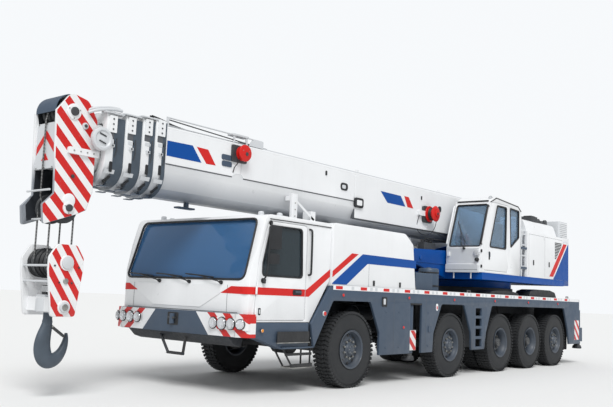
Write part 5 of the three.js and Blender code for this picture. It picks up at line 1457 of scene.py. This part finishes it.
def makeRearEnd():
    rear = Shape()
    y = rearEnd["face"]
    for out in bothSides:
        for i, lens in enumerate(rearEnd["lenses"]):
            x = out * (rearEnd["lampStart"] + i * rearEnd["lampPitch"])
            lamp(rear, (x, y + 0.028, 1.16), (0, 1, 0), 0.062, lens)
        outline = softRectangle(out * 0.52, 1.06, out * 1.22, 1.26, 0.02)
        rear.prism("Y", outline, y - 0.003, y + 0.029, black)
        hazard = [(out * 0.56, 0.86), (out * 1.24, 0.86), (out * 1.24, 1.0), (out * 0.56, 1.0)]
        rear.prism("Y", hazard, y - 0.003, y + 0.005, hazardEnds[out])
        flap = softOutline([(out * 1.02, 0.36, 0.03), (out * 1.42, 0.36, 0.03), (out * 1.42, 1.0, 0),
            (out * 1.02, 1.0, 0)])
        rear.prism("Y", flap, 9.12, 9.132, black)
        rear.box((out * 0.56, 9.12, 1.0), (out * 1.46, 9.132, 1.478), underPaintAndShade)
        rear.pipe([(out * 0.98, 9.126, 0.99), (out * 1.46, 9.126, 0.99)], 0.014, black, 8)
        rear.pipe([(out * 0.3, y - 0.02, 1.3), (out * 0.3, y - 0.02, 1.7), (out * 0.3, 9.76, 1.72)], 0.018,
            grey, 10)
    softBox(rear, (-0.26, y - 0.003, 1.1), (0.26, y + 0.012, 1.22), 0.012, white, "Y")
    rear.turned([(y - 0.003, 0), (y - 0.003, 0.1), (y + 0.03, 0.1), (y + 0.03, 0.055), (y + 0.16, 0.05),
        (y + 0.16, 0)], (0, 0, 0.96), "Y", dark, 28)
    rear.hoop([(-0.022, 0.05), (-0.022, 0.085), (0.022, 0.085), (0.022, 0.05)], (0, y + 0.2, 0.96), "Z",
        dark, 28)
    rear.piece("rear_lamps_and_coupling", "carrier", "dark_metal", bevel=0.003)


# air tanks: x, front, rear, height
airTanks = ((0.8, 3.98, 4.75, 1.05), (0.78, 0.78, 1.55, 1.18), (0.74, 0.8, 1.5, 0.88))


def makeUnderside():
    under = Shape()
    places = axlePlaces
    for first, second in zip(places, places[1:]):
        under.pipe([(0, first + 0.17, 0.625), (0, second - 0.17, 0.625)], 0.052, underPaintAndShade, 16)
        for y in (first + 0.24, second - 0.24):
            under.turned([(-0.035, 0.05), (-0.035, 0.085), (0.035, 0.085), (0.035, 0.05)], (0, y, 0.625),
                "Y", steel, 20)
    tanks = [(x * out, *reach) for x, *reach in airTanks for out in bothSides]
    for x, y0, y1, z in tanks:
        under.turned([(y0, 0), (y0 + 0.01, 0.07), (y0 + 0.04, 0.115), (y0 + 0.07, 0.125),
            (y1 - 0.07, 0.125), (y1 - 0.04, 0.115), (y1 - 0.01, 0.07), (y1, 0)], (x, 0, z), "Y", underPaintAndShade,
            28)
        for y in (y0 + 0.15, y1 - 0.15):
            under.hoop([(y, 0.122), (y, 0.131), (y + 0.025, 0.131), (y + 0.025, 0.122)], (x, 0, z), "Y",
                zinc, 28)
    for x in (-0.515, -0.545, 0.515, 0.545):
        under.pipe([(x, -1.9, 1.5), (x, 9.6, 1.5)], 0.011, black, 6)
    for place in places:
        for out in bothSides:
            under.pipe(smoothed([(out * 0.5, place + 0.2, 1.46), (out * 0.56, place + 0.16, 1.2),
                (out * 0.6, place + 0.12, 0.9), (out * 0.62, place + 0.08, 0.7)]), 0.012, black, 8)
    under.piece("shafts_tanks_and_pipes", "carrier", "dark_metal")


makeSideTape()
makeSideFittings()
makeDeckGear()
makeRearEnd()
makeUnderside()
print("carrier fitted out")
# superstructure: operator's cab, machinery house, tank, counterweight and winch
upper = {"side": 1.49, "houseTop": 3.13, "windowFoot": (1.07, 4.4, 2.6)}
leanFront = Matrix(((1, 0, 0, 1.07), (0, 0.347, -0.9379, 4.4), (0, 0.9379, 0.347, 2.6), (0, 0, 0, 1)))


# a pane set in an opening that isn't upright: the matrix's third axis looks out
def pane(shape, matrix, outline, glass, back=0.02, seal=0.016):
    soft = softOutline(outline, 5)
    shape.prism("Z", soft, -back - 0.006, -back, glass, matrix)
    for depth in (-0.004, -back):
        route = [matrix @ Vector((a, b, depth)) for a, b in soft]
        shape.seal(route, seal, black)


def makeOperatorCab():
    x = upper["side"]
    glazed = Shape()
    pane(glazed, leanFront, [(-0.36, 0.021, 0.05), (0.36, 0.021, 0.05), (0.36, 1.0, 0.05),
        (-0.36, 1.0, 0.05)], windowGlass)
    sidePane(glazed, [(5.7, 3.55, 0.03), (5.74, 2.68, 0.03), (6.15, 2.93, 0.03), (6.15, 3.53, 0.03)], x, 1,
        windowGlass, seal=0.016)
    inner = Matrix(((0, 0, -1, 0.655), (-1, 0, 0, 0), (0, 1, 0, 0), (0, 0, 0, 1)))
    pane(glazed, inner, [(-4.64, 2.7, 0.05), (-6.1, 2.7, 0.05), (-6.1, 3.5, 0.05), (-4.96, 3.54, 0.05)],
        windowGlass)
    rear = Matrix(((-1, 0, 0, 1.07), (0, -0.07, 1, 6.262), (0, 1, 0.07, 3.1), (0, 0, 0, 1)))
    pane(glazed, rear, [(-0.33, -0.35, 0.05), (0.33, -0.35, 0.05), (0.33, 0.35, 0.05), (-0.33, 0.35, 0.05)],
        windowGlass)
    glazed.piece("operator_cab_panes", "superstructure", "glass")

    door = Shape()
    sidePane(door, [(4.74, 2.63, 0.04), (5.08, 3.54, 0.04), (5.52, 3.54, 0.04), (5.5, 2.63, 0.04)], x, 1,
        windowGlass, seal=0.018)
    sidePlates(door, 1, x, [(4.72, 2.44, 0.045, 0.17, 0.012, black, 0.015),
        (4.72, 2.46, 0.022, 0.1, 0.026, slate, 0.01)])
    door.piece("operator_door_pane", "operator_cab_door", "glass", bevel=0.001)

    front = Shape()
    face = 4.4
    front.prism("Y", softRectangle(0.7, 2.27, 1.42, 2.575, 0.02), face - 0.006, face + 0.004, cream)
    softBox(front, (0.68, face - 0.085, 2.065), (1.43, face + 0.004, 2.235), 0.02, cream, "Y")
    front.box((0.68, face - 0.087, 2.12), (1.43, face - 0.08, 2.128), trimAndShade)
    for x0 in (0.86, 1.26):
        front.pipe([(x0, face - 0.04, 1.94), (x0, face - 0.04, 2.1)], 0.016, cream, 10)
    lamp(front, (1.37, face - 0.006, 2.475), (0, -1, 0), 0.07, lampClear, cream)
    front.turned([(0, 0), (0, 0.045), (0.05, 0.04), (0.075, 0.02), (0.075, 0)],
        (1.385, face - 0.004, 2.335), Vector((0, -1, 0)), black, 20)
    softBox(front, (0.695, face - 0.045, 2.41), (0.745, face, 2.5), 0.012, white, "Y")
    pivot, elbow, grip, low, high = onPlane(leanFront, (0.01, -0.035, 0.0), (-0.05, 0.05, 0.045),
        (-0.13, 0.36, 0.035), (0.02, 0.1, 0.018), (-0.25, 0.6, 0.018))
    front.turned([(0, 0), (0, 0.03), (0.035, 0.024), (0.05, 0)], pivot, (0, -0.94, 0.35), black, 16)
    front.pipe([pivot + Vector((0, -0.035, 0.012)), elbow, grip], 0.008, black, 8)
    front.pipe([low, grip, high], 0.009, black, 6)
    for side in (-0.405, 0.405):
        rail = [(side, 0.06, 0.0), (side, 0.06, 0.05), (side, 0.95, 0.05), (side, 0.95, 0.0)]
        front.pipe([leanFront @ Vector(p) for p in rail], 0.013, black if side > 0 else white, 10)
    for z in (2.2, 2.52):
        front.turned([(-0.03, 0), (-0.03, 0.018), (0.03, 0.018), (0.03, 0)], (1.478, 4.402, z), "Z", black,
            12)
    # roof: drip rail, louvres, lamps
    rail = [(1.492, 4.76, 3.585), (1.492, 5.03, 3.7), (1.492, 6.1, 3.63), (1.492, 6.26, 3.535)]
    front.pipe(rail, 0.011, black, 8)
    front.pipe([(0.7, 4.765, 3.615), (1.44, 4.765, 3.615)], 0.016, black, 8)
    matrix = Matrix.Translation((1.27, 5.3, 3.722)) @ Matrix.Rotation(-0.07, 4, "X")
    addRepeated(front, slatRow, black, matrix, Count=10, Step=(0, 0.05, 0), Size=(0.28, 0.018, 0.018),
        Turn=(0.5, 0, 0))
    softBox(front, (0.8, 5.25, 3.688), (1.08, 5.8, 3.745), 0.03, white)
    lamp(front, (1.4, 4.93, 3.7), (0.2, -1, 0.1), 0.035, lampClear)
    front.turned([(3.7, 0), (3.7, 0.05), (3.76, 0.05), (3.79, 0.035), (3.8, 0)], (0.78, 6.0, 0), "Z",
        lampAmber, 24)
    front.piece("operator_cab_fittings", "superstructure", "dark_metal", bevel=0.003)


def makeHouse():
    x, top = upper["side"], upper["houseTop"]
    livery = Shape()
    edges = x - 0.001, x + 0.0025
    livery.prism("X", [(8.1, 2.078), (9.055, 2.078), (9.055, 3.0), (9.03, 3.0)], *edges, blue)
    livery.prism("X", [(7.87, 2.14), (8.1, 2.14), (8.95, 2.985), (8.735, 2.985)], *edges, red)
    livery.prism("X", [(8.735, 2.985), (8.95, 2.985), (8.1, 2.14), (8.163, 2.14), (9.03, 3.0), (9.055, 3.0),
        (9.055, 3.02), (8.735, 3.02)], *edges, white)
    livery.piece("house_colours", "superstructure", "blue_paint")

    fitted = Shape()
    for y0, y1, low, high in ((6.7, 7.55, 2.12, 3.07), (7.6, 8.66, 2.12, 3.07)):
        for a, b in (((y0, low), (y0, high)), ((y0, high), (y1, high)), ((y1, high), (y1, 2.98))):
            fitted.box((x - 0.002, min(a[0], b[0]) - 0.003, min(a[1], b[1]) - 0.003), (x + 0.0012,
                max(a[0], b[0]) + 0.003, max(a[1], b[1]) + 0.003), trimAndShade)
    sidePlates(fitted, 1, x, [(y, 2.42, 0.05, 0.12, 0.01, black, 0.015) for y in (6.95, 7.85)])
    for i in range(11):  # louvres cut off by the diagonal
        z = 2.585 + i * 0.038
        end = min(8.61, 7.8 + (z - 2.14) * 1.05)
        fitted.prism("X", [(8.2, z), (end, z), (min(8.61, end + 0.02), z + 0.022), (8.2, z + 0.022)],
            x - 0.002, x + 0.004, black)
        fitted.box((x - 0.002, 8.19, z + 0.022), (x + 0.011, end + 0.01, z + 0.027), white)
    # ladder between the cab and the house
    for y in (6.345, 6.565):
        softBox(fitted, (1.43, y - 0.022, 1.955), (1.478, y + 0.022, 3.12), 0.01, cream)
    slatsFrom(fitted, (1.455, 6.455, 2.06), cream, 5, (0, 0, 0.245), (0.035, 0.2, 0.03))
    fitted.box((1.3, 6.315, 1.98), (1.315, 6.6, 3.1), grey)
    sidePlates(fitted, 1, 1.478, [(6.455, z, 0.28, 0.05, 0.012, grey, 0.01) for z in (2.27, 2.72)])
    # hood, cooler and pipes over the house
    soft = softOutline([(0.7, top - 0.002, 0), (0.7, top + 0.3, 0.1), (1.32, top + 0.3, 0.12),
        (1.42, top - 0.002, 0)])
    fitted.prism("Y", soft, 6.72, 8.48, white)
    softBox(fitted, (1.02, 7.28, top + 0.2), (1.3, 7.62, top + 0.42), 0.04, dark)
    plateOn(fitted, (1.16, 7.45, top + 0.42), (0, 0, 1), 0.2, 0.26, 0.02, black, 0.03, up=(0, 1, 0))
    for y, z in ((7.84, 0.33), (8.05, 0.3), (8.26, 0.34)):
        fitted.turned([(0, 0), (0, 0.055), (0.1, 0.055), (0.13, 0.035), (0.13, 0)],
            (1.2, y, top + z - 0.05), "Z", dark, 20)
    softBox(fitted, (0.75, 8.58, top - 0.002), (1.44, 9.12, top + 0.42), 0.04, cream)
    for matrix, size in ((Matrix.Translation((1.447, 8.85, top + 0.05)), (0.016, 0.46, 0.022)),
            (Matrix.Translation((1.095, 9.127, top + 0.05)), (0.6, 0.016, 0.022))):
        addRepeated(fitted, slatRow, white, matrix, Count=8, Step=(0, 0, 0.047), Size=size, Turn=(0, 0, 0))
    softBox(fitted, (-1.46, 8.76, 3.018), (1.46, 9.19, 3.155), 0.05, white)
    for start in (0.62, 0.68):
        fitted.pipe(smoothed([(start, 6.7, 2.6), (start, 6.5, 2.9), (start, 6.6, 3.2),
            (start + 0.1, 6.75, 3.3)]), 0.018, black, 10)
    fitted.piece("house_fittings", "superstructure", "dark_metal", bevel=0.003)


def makeRightAndRear():
    x = -upper["side"]
    fitted = Shape()
    aim = (-1, 0, 0)
    for y0, y1 in ((5.12, 6.25), (6.32, 7.45), (7.52, 8.66)):
        fitted.box((x - 0.0012, y0, 2.78), (x + 0.002, y1, 2.786), trimAndShade)
        for y in (y0, y1):
            fitted.box((x - 0.0012, y - 0.003, 2.14), (x + 0.002, y + 0.003, 2.786), trimAndShade)
        plateOn(fitted, (x, (y0 + y1) / 2, 2.7), aim, 0.16, 0.04, 0.012, black, 0.012)
    plateOn(fitted, (x, 5.35, 2.42), aim, 0.06, 0.22, 0.01, black, 0.02)
    plateOn(fitted, (x, 5.35, 2.42), aim, 0.025, 0.18, 0.014, windowGlass, 0.01)
    for y in (5.6, 6.9):
        fitted.turned([(2.948, 0), (2.948, 0.085), (2.985, 0.085), (3.0, 0.07), (3.0, 0)], (-1.05, y, 0),
            "Z", dark, 28)
        boltsOn(fitted, (-1.1, y, 3.0), (0, 0, 1), (0.05, 0, 0), 3, 0.01, 0.012)
    slatsFrom(fitted, (-1.08, 7.65, 2.955), black, 20, (0, 0.045, 0), (0.55, 0.014, 0.022), 0.5)
    # counterweight: joints of its slabs, lifting eyes, lamps
    for z in (2.26, 2.62):
        for side in bothSides:
            fitted.box((side * 1.4915, 8.76, z), (side * 1.485, 9.06, z + 0.006), trimAndShade)
        fitted.box((-1.34, 9.205, z), (1.34, 9.2115, z + 0.006), trimAndShade)
    for side in bothSides:
        for y in (8.86, 9.1):
            fitted.hoop([(-0.014, 0.03), (-0.014, 0.06), (0.014, 0.06), (0.014, 0.03)],
                (side * 1.0, y, 3.185), "X", dark, 24)
        lamp(fitted, (side * 1.15, 9.21, 2.12), (0, 1, 0), 0.05, lampRed)
        plateOn(fitted, (side * 0.75, 9.21, 2.12), (0, 1, 0), 0.3, 0.1, 0.003, hazardEnds[side], 0.005)
    # handrail along the right deck edge
    for y in (5.15, 6.3, 7.5, 8.6):
        fitted.pipe([(-1.42, y, 2.94), (-1.42, y, 3.42)], 0.016, white, 10)
    for z in (3.2, 3.42):
        fitted.pipe([(-1.42, 5.15, z), (-1.42, 8.6, z)], 0.016, white, 10)
    fitted.piece("tank_and_counterweight_fittings", "superstructure", "dark_metal", bevel=0.002)

    table = Shape()
    for side in bothSides:
        out = side * 0.606
        for y, z in ((3.42, 2.32), (4.6, 2.35), (8.1, 3.23)):
            discOn(table, (out, y, z), (side, 0, 0), 0.085 if z > 3 else 0.05, 0.018,
                blue if z < 3 else dark)
        table.box((out - side * 0.002, 3.25, 2.225), (out + side * 0.012, 5.1, 2.245), blue)
    softBox(table, (0.36, 3.7, 2.44), (0.53, 4.15, 2.66), 0.02, dark)
    for i in range(4):
        table.turned([(0, 0), (0, 0.022), (0.06, 0.022), (0.075, 0.014), (0.075, 0)],
            (0.42, 3.76 + i * 0.11, 2.658), "Z", black, 12)
        table.pipe(smoothed([(0.47, 3.76 + i * 0.1, 2.66), (0.5, 3.76 + i * 0.1, 2.74),
            (0.5, 4.2 + i * 0.06, 2.76), (0.47, 4.9, 2.7), (0.47, 5.6, 2.4), (0.47, 6.0, 2.1)]), 0.014,
            black, 8)
    for side in bothSides:  # motors that turn the superstructure
        table.turned([(2.073, 0), (2.073, 0.16), (2.3, 0.16), (2.32, 0.12), (2.52, 0.12), (2.55, 0.06),
            (2.55, 0)], (side * 0.36, 5.35, 0), "Z", dark, 28)
    table.piece("turntable_fittings", "superstructure", "blue_paint", bevel=0.003)


winch = {"axle": (8.44, 2.45), "turns": 30, "width": 0.79, "bolts": 6}


def makeWinch():
    wound = Shape()
    y, z = winch["axle"]
    half, step = winch["width"] / 2, winch["width"] / winch["turns"]
    profile = []
    for i in range(winch["turns"]):
        a = -half + winch["width"] * i / winch["turns"]
        profile += [(a, 0.206), (a + step * 0.25, 0.216), (a + step * 0.5, 0.219), (a + step * 0.75, 0.216)]
    profile += [(half, 0.206), (half, 0.191), (-half, 0.191)]
    wound.hoop(profile, (0, y, z), "X", rope, 48)
    for side in bothSides:
        sideDiscs(wound, side, 0.43,
            [(0, *spot, 0.022, 0.02, zinc, 6) for spot in arc((y, z), 0.12, 0, 300, 5)])
    wound.piece("wound_rope", "winch_drum", "steel")


makeOperatorCab()
makeHouse()
makeRightAndRear()
makeWinch()
print("superstructure fitted out")
# seats and the inside of the two cabs
paleCloth = wovenCloth("paleSeatCloth", (0.13, 0.15, 0.18), (0.22, 0.25, 0.29))
cushionForm = {"cuts": 14, "round": 5.0, "pull": 0.045, "crown": 0.24, "channelDepth": 0.011}


# how far a point of a cube or a square lies out, measured so that the corners come in
def roundness(*parts):
    return sum(abs(part) ** cushionForm["round"] for part in parts) ** (1 / cushionForm["round"])


# a place on the pad seen from above, with the sides drawn in between the corners
def drawnIn(a, b, wide, deep):
    pull = cushionForm["pull"]
    return a * wide * (1 - pull * (1 - b * b)), b * deep * (1 - pull * (1 - a * a))


# a stuffed pad: crowned above, drawn in between its corners, sewn in channels, flat where it rests
def cushion(name, body, matrix, size, channels, cloth):
    padding = Shape()
    crown = cushionForm["crown"]
    cube = bmesh.new()
    bmesh.ops.create_cube(cube, size=2)
    bmesh.ops.subdivide_edges(cube, edges=cube.edges, cuts=cushionForm["cuts"], use_grid_fill=True)
    wide, deep, high = (length / 2 for length in size)
    for vert in cube.verts:
        norm = roundness(*vert.co)
        a, b, c = (part / norm for part in vert.co)
        swell = (1 - a ** 4) * (1 - b ** 4)
        z = c * high * (1 - crown + crown * swell if c > 0 else 0.9 + 0.1 * swell)
        for place in channels if c > 0 else ():
            z -= cushionForm["channelDepth"] * math.exp(-((a - place) * wide / 0.011) ** 2) * c
        vert.co = (*drawnIn(a, b, wide, deep), z)
    cube.transform(matrix)
    plain = bpy.data.meshes.new("padding")
    cube.to_mesh(plain)
    cube.free()
    padding.mesh.from_mesh(plain)
    bpy.data.meshes.remove(plain)
    padding.keep(padding.mesh.faces, cloth)
    welt = []
    for angle in (2 * math.pi * i / 48 for i in range(49)):
        norm = roundness(math.cos(angle), math.sin(angle))
        welt.append(matrix @ Vector((*drawnIn(math.cos(angle) / norm, math.sin(angle) / norm, wide, deep),
            high * 0.1)))
    padding.pipe(welt, 0.006, trimAndShade, 6)
    made = padding.piece(name, body, "interior", sharp=60)


def seat(name, body, place, width, depth, lean, backHeight, cloth):
    x, y, z = place
    base = Matrix.Translation((x, y, z))
    cushion(f"{name}_cushion", body, base, (width, depth, 0.15), (-0.45, 0.45), cloth)
    hinge = shifted((x, y + depth / 2 - 0.02, z + 0.03), -lean)
    back = hinge @ shifted((0, 0.02, backHeight / 2), 90)
    cushion(f"{name}_back", body, back, (width - 0.03, backHeight, 0.13), (-0.45, 0.45), cloth)
    head = hinge @ shifted((0, 0.02, backHeight + 0.095), 90)
    cushion(f"{name}_headrest", body, head, (width * 0.55, 0.15, 0.09), (), cloth)
    return hinge


def seatFrame(shape, hinge, place, width, depth, backHeight, floor):
    x, y, z = place
    shape.prism("Y", [(x - 0.14, floor), (x + 0.14, floor), (x + 0.11, z - 0.1), (x - 0.11, z - 0.1)],
        y - 0.16, y + 0.16, black)
    softBox(shape, (x - width / 2 + 0.03, y - depth / 2 + 0.03, z - 0.105),
        (x + width / 2 - 0.03, y + depth / 2 - 0.02, z - 0.068), 0.03, black)
    outline = softOutline([(-width / 2 + 0.04, -0.02, 0.03), (width / 2 - 0.04, -0.02, 0.03),
        (width / 2 - 0.05, backHeight, 0.06), (0.05 - width / 2, backHeight, 0.06)])
    turned = hinge @ shifted((0, 0.085, 0), 90)
    shape.prism("Z", outline, -0.022, 0.0, black, turned)
    for side in (-0.05, 0.05):
        shape.pipe([hinge @ Vector((side, 0.04, backHeight - 0.02)),
            hinge @ Vector((side, 0.04, backHeight + 0.06))], 0.008, zinc, 8)


def makeCabInside():
    inside = Shape()
    floor = 1.1105
    dash = softOutline([(-2.335, floor, 0), (-2.15, floor, 0.05), (-2.1, 1.4, 0.08), (-2.0, 1.47, 0.03),
        (-2.02, 1.585, 0.04), (-2.3, 1.6, 0.02), (-2.335, 1.56, 0)])
    inside.prism("X", dash, -1.28, 1.28, trimAndShade)
    binnacle = softOutline([(-2.22, 1.56, 0), (-2.0, 1.56, 0.02), (-2.03, 1.655, 0.04), (-2.2, 1.64, 0.06)])
    inside.prism("X", binnacle, 0.55, 1.1, black)
    face = shifted((0.82, -2.005, 1.6), 75)
    for x in (-0.14, 0.0, 0.14):
        inside.turned([(-0.01, 0), (-0.01, 0.052), (0.008, 0.052), (0.008, 0)], face @ Vector((x, 0, 0)),
            face.to_3x3() @ Vector((0, 0, -1)), slate, 24)
    for x in (-0.9, -0.3, 0.25):
        plateOn(inside, (x, -2.008, 1.525), (0, 1, 0), 0.22, 0.07, 0.006, black, 0.02)
    wheelTurn = shifted((0.82, -1.9, 1.64), -52)
    rim = [wheelTurn @ Vector((0.225 * math.cos(a), 0.225 * math.sin(a),
        0)) for a in (math.radians(10 * i) for i in range(37))]
    inside.pipe(rim, 0.016, black, 10)
    for turn in (90, 210, 330):
        a = math.radians(turn)
        inside.pipe([wheelTurn @ Vector((0, 0, -0.02)), wheelTurn @ Vector((0.22 * math.cos(a),
            0.22 * math.sin(a), 0))], 0.012, black, 8)
    inside.pipe([wheelTurn @ Vector((0, 0, 0.01)), (0.82, -2.12, 1.46)], 0.035, black, 16)
    softBox(inside, (-0.4, -2.14, floor), (0.4, -1.2, floor + 0.16), 0.05, trimAndShade, "Y")
    inside.box((-1.36, -2.2, floor), (1.36, -0.72, floor + 0.012), black)
    inside.pipe([(0.3, -1.75, floor + 0.15), (0.3, -1.78, 1.5)], 0.012, black, 8)
    inside.turned([(1.49, 0), (1.49, 0.02), (1.51, 0.03), (1.535, 0.028), (1.55, 0.0)], (0.3, -1.78, 0),
        "Z", black, 16)
    inside.prism("Y", [(-1.38, floor), (1.38, floor), (1.38, 1.74), (-1.38, 1.74)], -0.705, -0.69, trimAndShade)
    for x, place in ((0.82, "driver"), (-0.82, "passenger")):
        hinge = seat(f"{place}_seat", "carrier", (x, -1.42, 1.5), 0.5, 0.5, 12, 0.6, paleCloth)
        seatFrame(inside, hinge, (x, -1.42, 1.5), 0.5, 0.5, 0.6, floor)
    inside.piece("cab_dash_and_controls", "carrier", "interior", bevel=0.004, replaces=["cab_interior"])


def makeOperatorInside():
    inside = Shape()
    x, floor = 1.07, 2.1215
    hinge = seat("operator_seat", "superstructure", (x, 5.4, 2.62), 0.5, 0.5, 11, 0.6, seatCloth)
    seatFrame(inside, hinge, (x, 5.4, 2.62), 0.5, 0.5, 0.6, floor)
    inside.box((0.71, 4.52, floor), (1.43, 6.15, floor + 0.012), black)
    for side in (-1, 1):
        softBox(inside, (x + side * 0.325 - 0.05, 5.08, 2.72), (x + side * 0.325 + 0.05, 5.58, 2.8), 0.03,
            black)
        inside.box((x + side * 0.325 - 0.03, 5.3, 2.45), (x + side * 0.325 + 0.03, 5.42, 2.73), black)
        inside.box((x + min(0, side * 0.33), 5.33, 2.46), (x + max(0, side * 0.33), 5.39, 2.5), black)
        inside.pipe([(x + side * 0.325, 5.13, 2.79), (x + side * 0.325, 5.12, 2.9)], 0.012, black, 8)
        inside.turned([(2.89, 0), (2.89, 0.018), (2.93, 0.026), (2.965, 0.022), (2.975, 0)],
            (x + side * 0.325, 5.12, 0), "Z", black, 16)
        inside.pipe([(x + side * 0.14, 4.72, floor), (x + side * 0.14, 4.66, floor + 0.16)], 0.012, black,
            8)
        plateOn(inside, (x + side * 0.14, 4.67, floor + 0.15), (0, 0.7, 0.7), 0.09, 0.14, 0.01, zinc, 0.02)
    inside.prism("X", softOutline([(4.5, floor, 0), (4.62, floor, 0.02), (4.6, 2.56, 0.03),
        (4.5, 2.56, 0.01)]), 0.74, 0.9, trimAndShade)
    softBox(inside, (0.76, 4.6, 2.5), (0.98, 4.64, 2.72), 0.02, black, "Y")
    plateOn(inside, (0.87, 4.64, 2.61), (0, 1, 0), 0.17, 0.16, 0.004, slate, 0.01)
    inside.piece("operator_controls", "superstructure", "interior", bevel=0.003,
        replaces=["operator_chair"])


makeCabInside()
makeOperatorInside()
print("cabs furnished")
